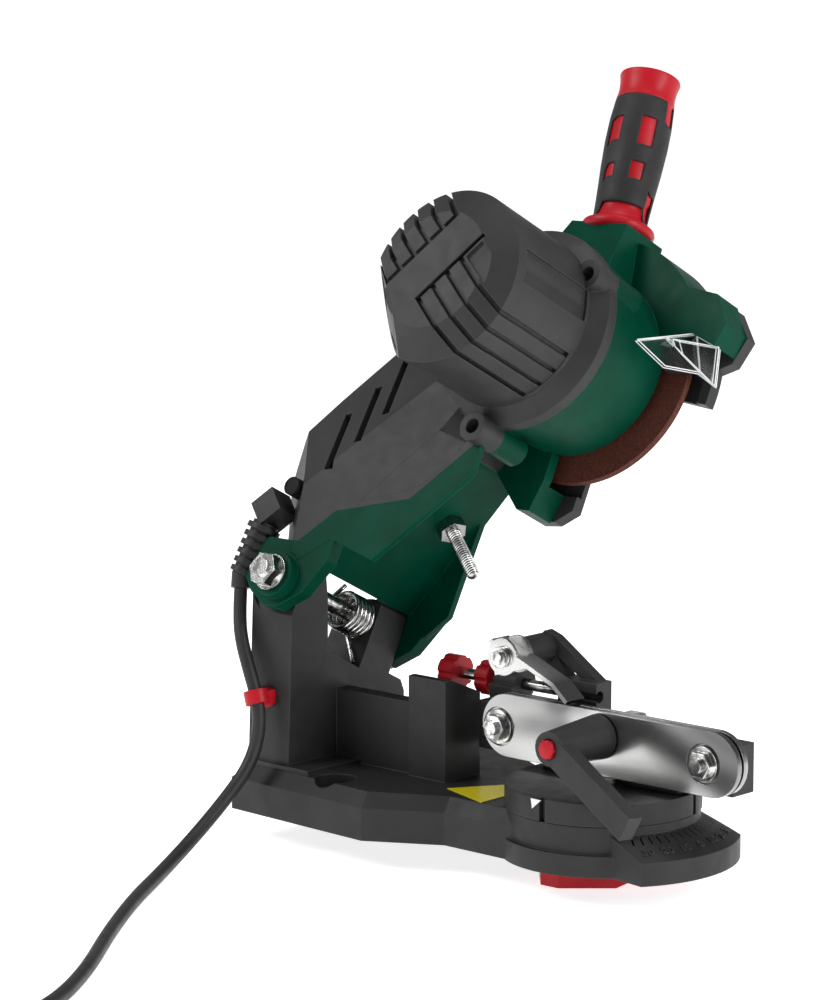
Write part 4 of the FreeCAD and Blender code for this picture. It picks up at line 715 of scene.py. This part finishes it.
PLUG_ENDS = (on_arm(-9.4, 40.6, 38.0), on_arm(-9.4, 40.6, 47.0))
PLUG_PROFILE = ((0.05, 0.0), (4.2, 0.0), (4.2, 8.0), (3.7, 8.5), (3.0, 7.7), (0.05, 7.6))
SHIELD_BAR, SHIELD_SIDES, SHIELD_SHORT = 0.24, 6, 2.0
FLANK_OUTLINE = ((31.5, 38.4), (47.5, 57.5), (63.0, 74.0), (78.5, 70.0), (73.5, 60.5),
                 (62.0, 48.3), (47.0, 43.0))
FLANK_LEVELS = (45.04, 43.2)
BUTTON_ENDS = ((116.0, -39.0, 50.0), (116.0, -20.0, 50.0))
BUTTON_PROFILE = ((0.05, 0.0), (3.0, 0.1), (3.8, 0.5), (4.1, 1.3), (4.1, 2.1), (0.05, 2.1))


def screw_plug():
    """Disc with a shallow dish over the screw at the arm's lower end; its near-black colour is
    painted shade for the screw's recess.
    """
    return turned("screw_plug", *PLUG_ENDS, PLUG_PROFILE, "dark_recess", "arm")


screw_plug()


def edge_material():
    """Painted highlight on the clear plastic's polished cut edges: a pale colour with a faint glow
    of its own.
    """
    material, tree, shader = new_material("shield_glint")
    coords = object_coords(tree)
    tone = ramp(tree, noise(tree, coords, 300.0),
                ((0.3, (0.66, 0.68, 0.68)), (0.7, (0.84, 0.86, 0.86))))
    tree.links.new(tone, shader.inputs["Base Color"])
    tree.links.new(spread(tree, noise(tree, coords, 500.0), 0.08, 0.2), shader.inputs["Roughness"])
    # Painted glow: the edge bars give off light though they are no lamp.
    tree.links.new(tone, shader.inputs["Emission Color"])
    shader.inputs["Emission Strength"].default_value = 0.12
    return material


def shield_edges():
    """Thin bars along the sharp edges of the clear shield, which carry its painted highlight."""
    sheet = frame["nodes"]["eye_shield"]
    work = bmesh.new()
    work.from_mesh(sheet.data)
    bmesh.ops.remove_doubles(work, verts=work.verts, dist=0.02 * MM)
    bmesh.ops.dissolve_limit(work, angle_limit=math.radians(5), verts=work.verts, edges=work.edges)
    points, faces = [], []
    for edge in work.edges:
        if len(edge.link_faces) != 2 or edge.calc_face_angle(0.0) < math.radians(30):
            continue
        start, end = (sheet.matrix_world @ vertex.co / MM for vertex in edge.verts)
        if (end - start).length < SHIELD_SHORT:
            continue
        way, side, up = axes_of(start, end)
        first = len(points)
        for spot in (start, end):
            points += ring(spot, side, up, SHIELD_BAR, SHIELD_SIDES)
        faces += band(first, first + SHIELD_SIDES, SHIELD_SIDES)
    work.free()
    MATERIALS["shield_glint"] = edge_material()
    return mesh_piece("shield_edges", points, faces, "shield_glint", "arm")


shield_edges()


def flank_panel():
    """Closes the flat side of the shell, flush with its skin."""
    points = [tuple(on_arm(u, v, h)) for h in FLANK_LEVELS for u, v in FLANK_OUTLINE]
    faces = prism_faces(len(FLANK_OUTLINE))
    return mesh_piece("flank_panel", points, faces, "shell_black", "arm", smooth=False)


flank_panel()


def button_cap():
    """Domed cap of the lever's push button."""
    return turned("button_cap", *BUTTON_ENDS, BUTTON_PROFILE, "red_plastic", "button", around=8)


button_cap()


# Spring

SPRING_RADIUS = 8.4
SPRING_WIRE = 2.0
SPRING_FIRST, SPRING_LAST, SPRING_TURNS = 138.0, 216.9, 5
SPRING_SWEEP = SPRING_LAST + 360 * SPRING_TURNS - SPRING_FIRST
SPRING_NEAR, SPRING_FAR = 2.0, -12.0
SPRING_FIRST_LEG, SPRING_LAST_LEG = 7.0, 18.5
SPRING_STEPS = 126


def torsion_spring():
    points = []
    for k in range(SPRING_STEPS + 1):
        share = k / SPRING_STEPS
        angle = math.radians(SPRING_FIRST + SPRING_SWEEP * share)
        points.append(on_arm(SPRING_RADIUS * math.cos(angle), SPRING_RADIUS * math.sin(angle),
                             SPRING_NEAR + (SPRING_FAR - SPRING_NEAR) * share))
    first = math.radians(SPRING_FIRST - 90)
    last = math.radians(SPRING_LAST + 90)
    start = points[0] + SPRING_FIRST_LEG * (ARM_U * math.cos(first) + ARM_V * math.sin(first))
    end = points[-1] + SPRING_LAST_LEG * (ARM_U * math.cos(last) + ARM_V * math.sin(last))
    line = [start, points[0].lerp(start, 0.35)] + points[1:-1] + [points[-1].lerp(end, 0.2), end]
    obj = spline_curve("spring_wire", [tuple(p) for p in line], SPRING_WIRE)
    obj.data.materials.append(MATERIALS["bright_steel"])
    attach(obj, "base")
    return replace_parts(obj, "torsion_spring")


torsion_spring()


# Degree scale

DRUM_X = 115.0
FAN_TOP, FAN_ROOT, FAN_SLOPE = 17.0, 40.5, 7.5 / 16.5
NUMBER_RADIUS, NUMBER_SIZE, NUMBER_RISE = 51.2, 5.4, 0.45
NUMBER_WIDENING, NUMBER_BEVEL = 0.10, 0.05
POINTER_RADIUS, POINTER_DEPTH = 41.12, 0.3
POINTER_CORNERS = ((-96.5, 29.6), (-88.6, 29.6), (-95.4, 25.4))


def fan_frame(radius, angle):
    """A place on the sloping fan and its directions: right, up the slope, and out of it."""
    a = math.radians(angle)
    out = Vector((math.cos(a), math.sin(a), 0))
    right = Vector((-math.sin(a), math.cos(a), 0))
    up = (Vector((0, 0, 1)) * FAN_SLOPE - out).normalized()
    place = Vector((DRUM_X, 0, FAN_TOP - FAN_SLOPE * (radius - FAN_ROOT))) + out * radius
    return place, right, up, right.cross(up)


def scale_number(text, angle, index):
    data = bpy.data.curves.new("number", "FONT")
    data.body = text
    data.size = NUMBER_SIZE * MM
    data.offset = NUMBER_WIDENING * MM
    data.align_x = "CENTER"
    data.align_y = "CENTER"
    data.extrude = NUMBER_RISE * MM
    data.bevel_depth = NUMBER_BEVEL * MM
    data.resolution_u = 3
    flat = linked("number", data)
    bpy.context.view_layer.update()
    depsgraph = bpy.context.evaluated_depsgraph_get()
    mesh = bpy.data.meshes.new_from_object(flat.evaluated_get(depsgraph))
    bpy.data.objects.remove(flat)
    place, right, up, normal = fan_frame(NUMBER_RADIUS, angle)
    turn = Matrix((right, up, normal)).transposed().to_4x4()
    mesh.transform(Matrix.Translation(place * MM) @ turn)
    mesh.name = f"scale_number_{index}"
    mesh.materials.append(MATERIALS["shell_black"])
    obj = linked(mesh.name, mesh)
    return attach(obj, "base")


for index, angle in enumerate(range(-30, 31, 10)):
    scale_number(str(abs(angle)), angle, index)


def pointer_material():
    material, tree, shader = new_material("pointer_white")
    coords = object_coords(tree)
    tone = ramp(tree, noise(tree, coords, 1200.0),
                ((0.3, (0.70, 0.70, 0.69)), (0.7, (0.86, 0.86, 0.85))))
    tree.links.new(tone, shader.inputs["Base Color"])
    tree.links.new(spread(tree, noise(tree, coords, 500.0), 0.35, 0.5), shader.inputs["Roughness"])
    return material


def pointer_mark():
    """White triangle inlaid in the turntable's side, under its rim."""
    MATERIALS["pointer_white"] = pointer_material()
    points = []
    for radius in (POINTER_RADIUS, POINTER_RADIUS - POINTER_DEPTH):
        for angle, level in POINTER_CORNERS:
            a = math.radians(angle)
            points.append((DRUM_X + radius * math.cos(a), radius * math.sin(a), level))
    faces = [(0, 2, 1), (3, 4, 5), (0, 1, 4, 3), (1, 2, 5, 4), (2, 0, 3, 5)]
    return mesh_piece("pointer_mark", points, faces, "pointer_white", "table", smooth=False)


pointer_mark()


# Floor and light

GROUND_HEIGHT, GROUND_SIZE = -0.0127, 40.0
LIGHT_AIM = (0.04, 0.0, 0.13)
LIGHTS = (("key", (-0.9, -1.3, 1.5), (0.9, 0.9), 22.0),
          ("top", (0.1, 0.3, 1.8), (1.0, 0.8), 9.0),
          ("side", (1.7, 0.2, 0.8), (0.6, 1.0), 16.0))


def ground():
    mesh = bpy.data.meshes.new("floor")
    work = bmesh.new()
    bmesh.ops.create_grid(work, x_segments=8, y_segments=8, size=GROUND_SIZE)
    work.to_mesh(mesh)
    work.free()
    floor = linked("floor", mesh)
    floor.location = (0, 0, GROUND_HEIGHT)
    material, tree, shader = new_material("floor_paper")
    tone = ramp(tree, noise(tree, object_coords(tree), 30.0, detail=3.0),
                ((0.3, grey(0.93)), (0.7, grey(0.96))))
    tree.links.new(tone, shader.inputs["Base Color"])
    tree.links.new(tone, shader.inputs["Emission Color"])
    shader.inputs["Emission Strength"].default_value = 0.82
    shader.inputs["Roughness"].default_value = 0.9
    shader.inputs["Specular IOR Level"].default_value = 0.1
    mesh.materials.append(material)


def area_light(name, place, size, power):
    data = bpy.data.lights.new(name, "AREA")
    data.shape = "RECTANGLE"
    data.size, data.size_y = size
    data.energy = power
    light = linked(name, data)
    light.location = place
    light.rotation_mode = "QUATERNION"
    light.rotation_quaternion = (Vector(LIGHT_AIM) - Vector(place)).to_track_quat("-Z", "Y")


def lights():
    """Soft sky that is paler near the horizon, and three soft lamps."""
    world = bpy.data.worlds.new("studio")
    bpy.context.scene.world = world
    world.use_nodes = True
    tree = world.node_tree
    background = tree.nodes["Background"]
    parts = tree.nodes.new("ShaderNodeSeparateXYZ")
    way = tree.nodes.new("ShaderNodeTexCoord").outputs["Generated"]
    tree.links.new(way, parts.inputs["Vector"])
    sky = ramp(tree, parts.outputs["Z"], ((0.05, grey(0.80)), (0.30, grey(0.26))))
    tree.links.new(sky, background.inputs["Color"])
    background.inputs["Strength"].default_value = 1.0
    for lamp in LIGHTS:
        area_light(*lamp)
    bpy.context.scene.view_settings.view_transform = "Standard"


ground()
lights()

bpy.context.view_layer.update()
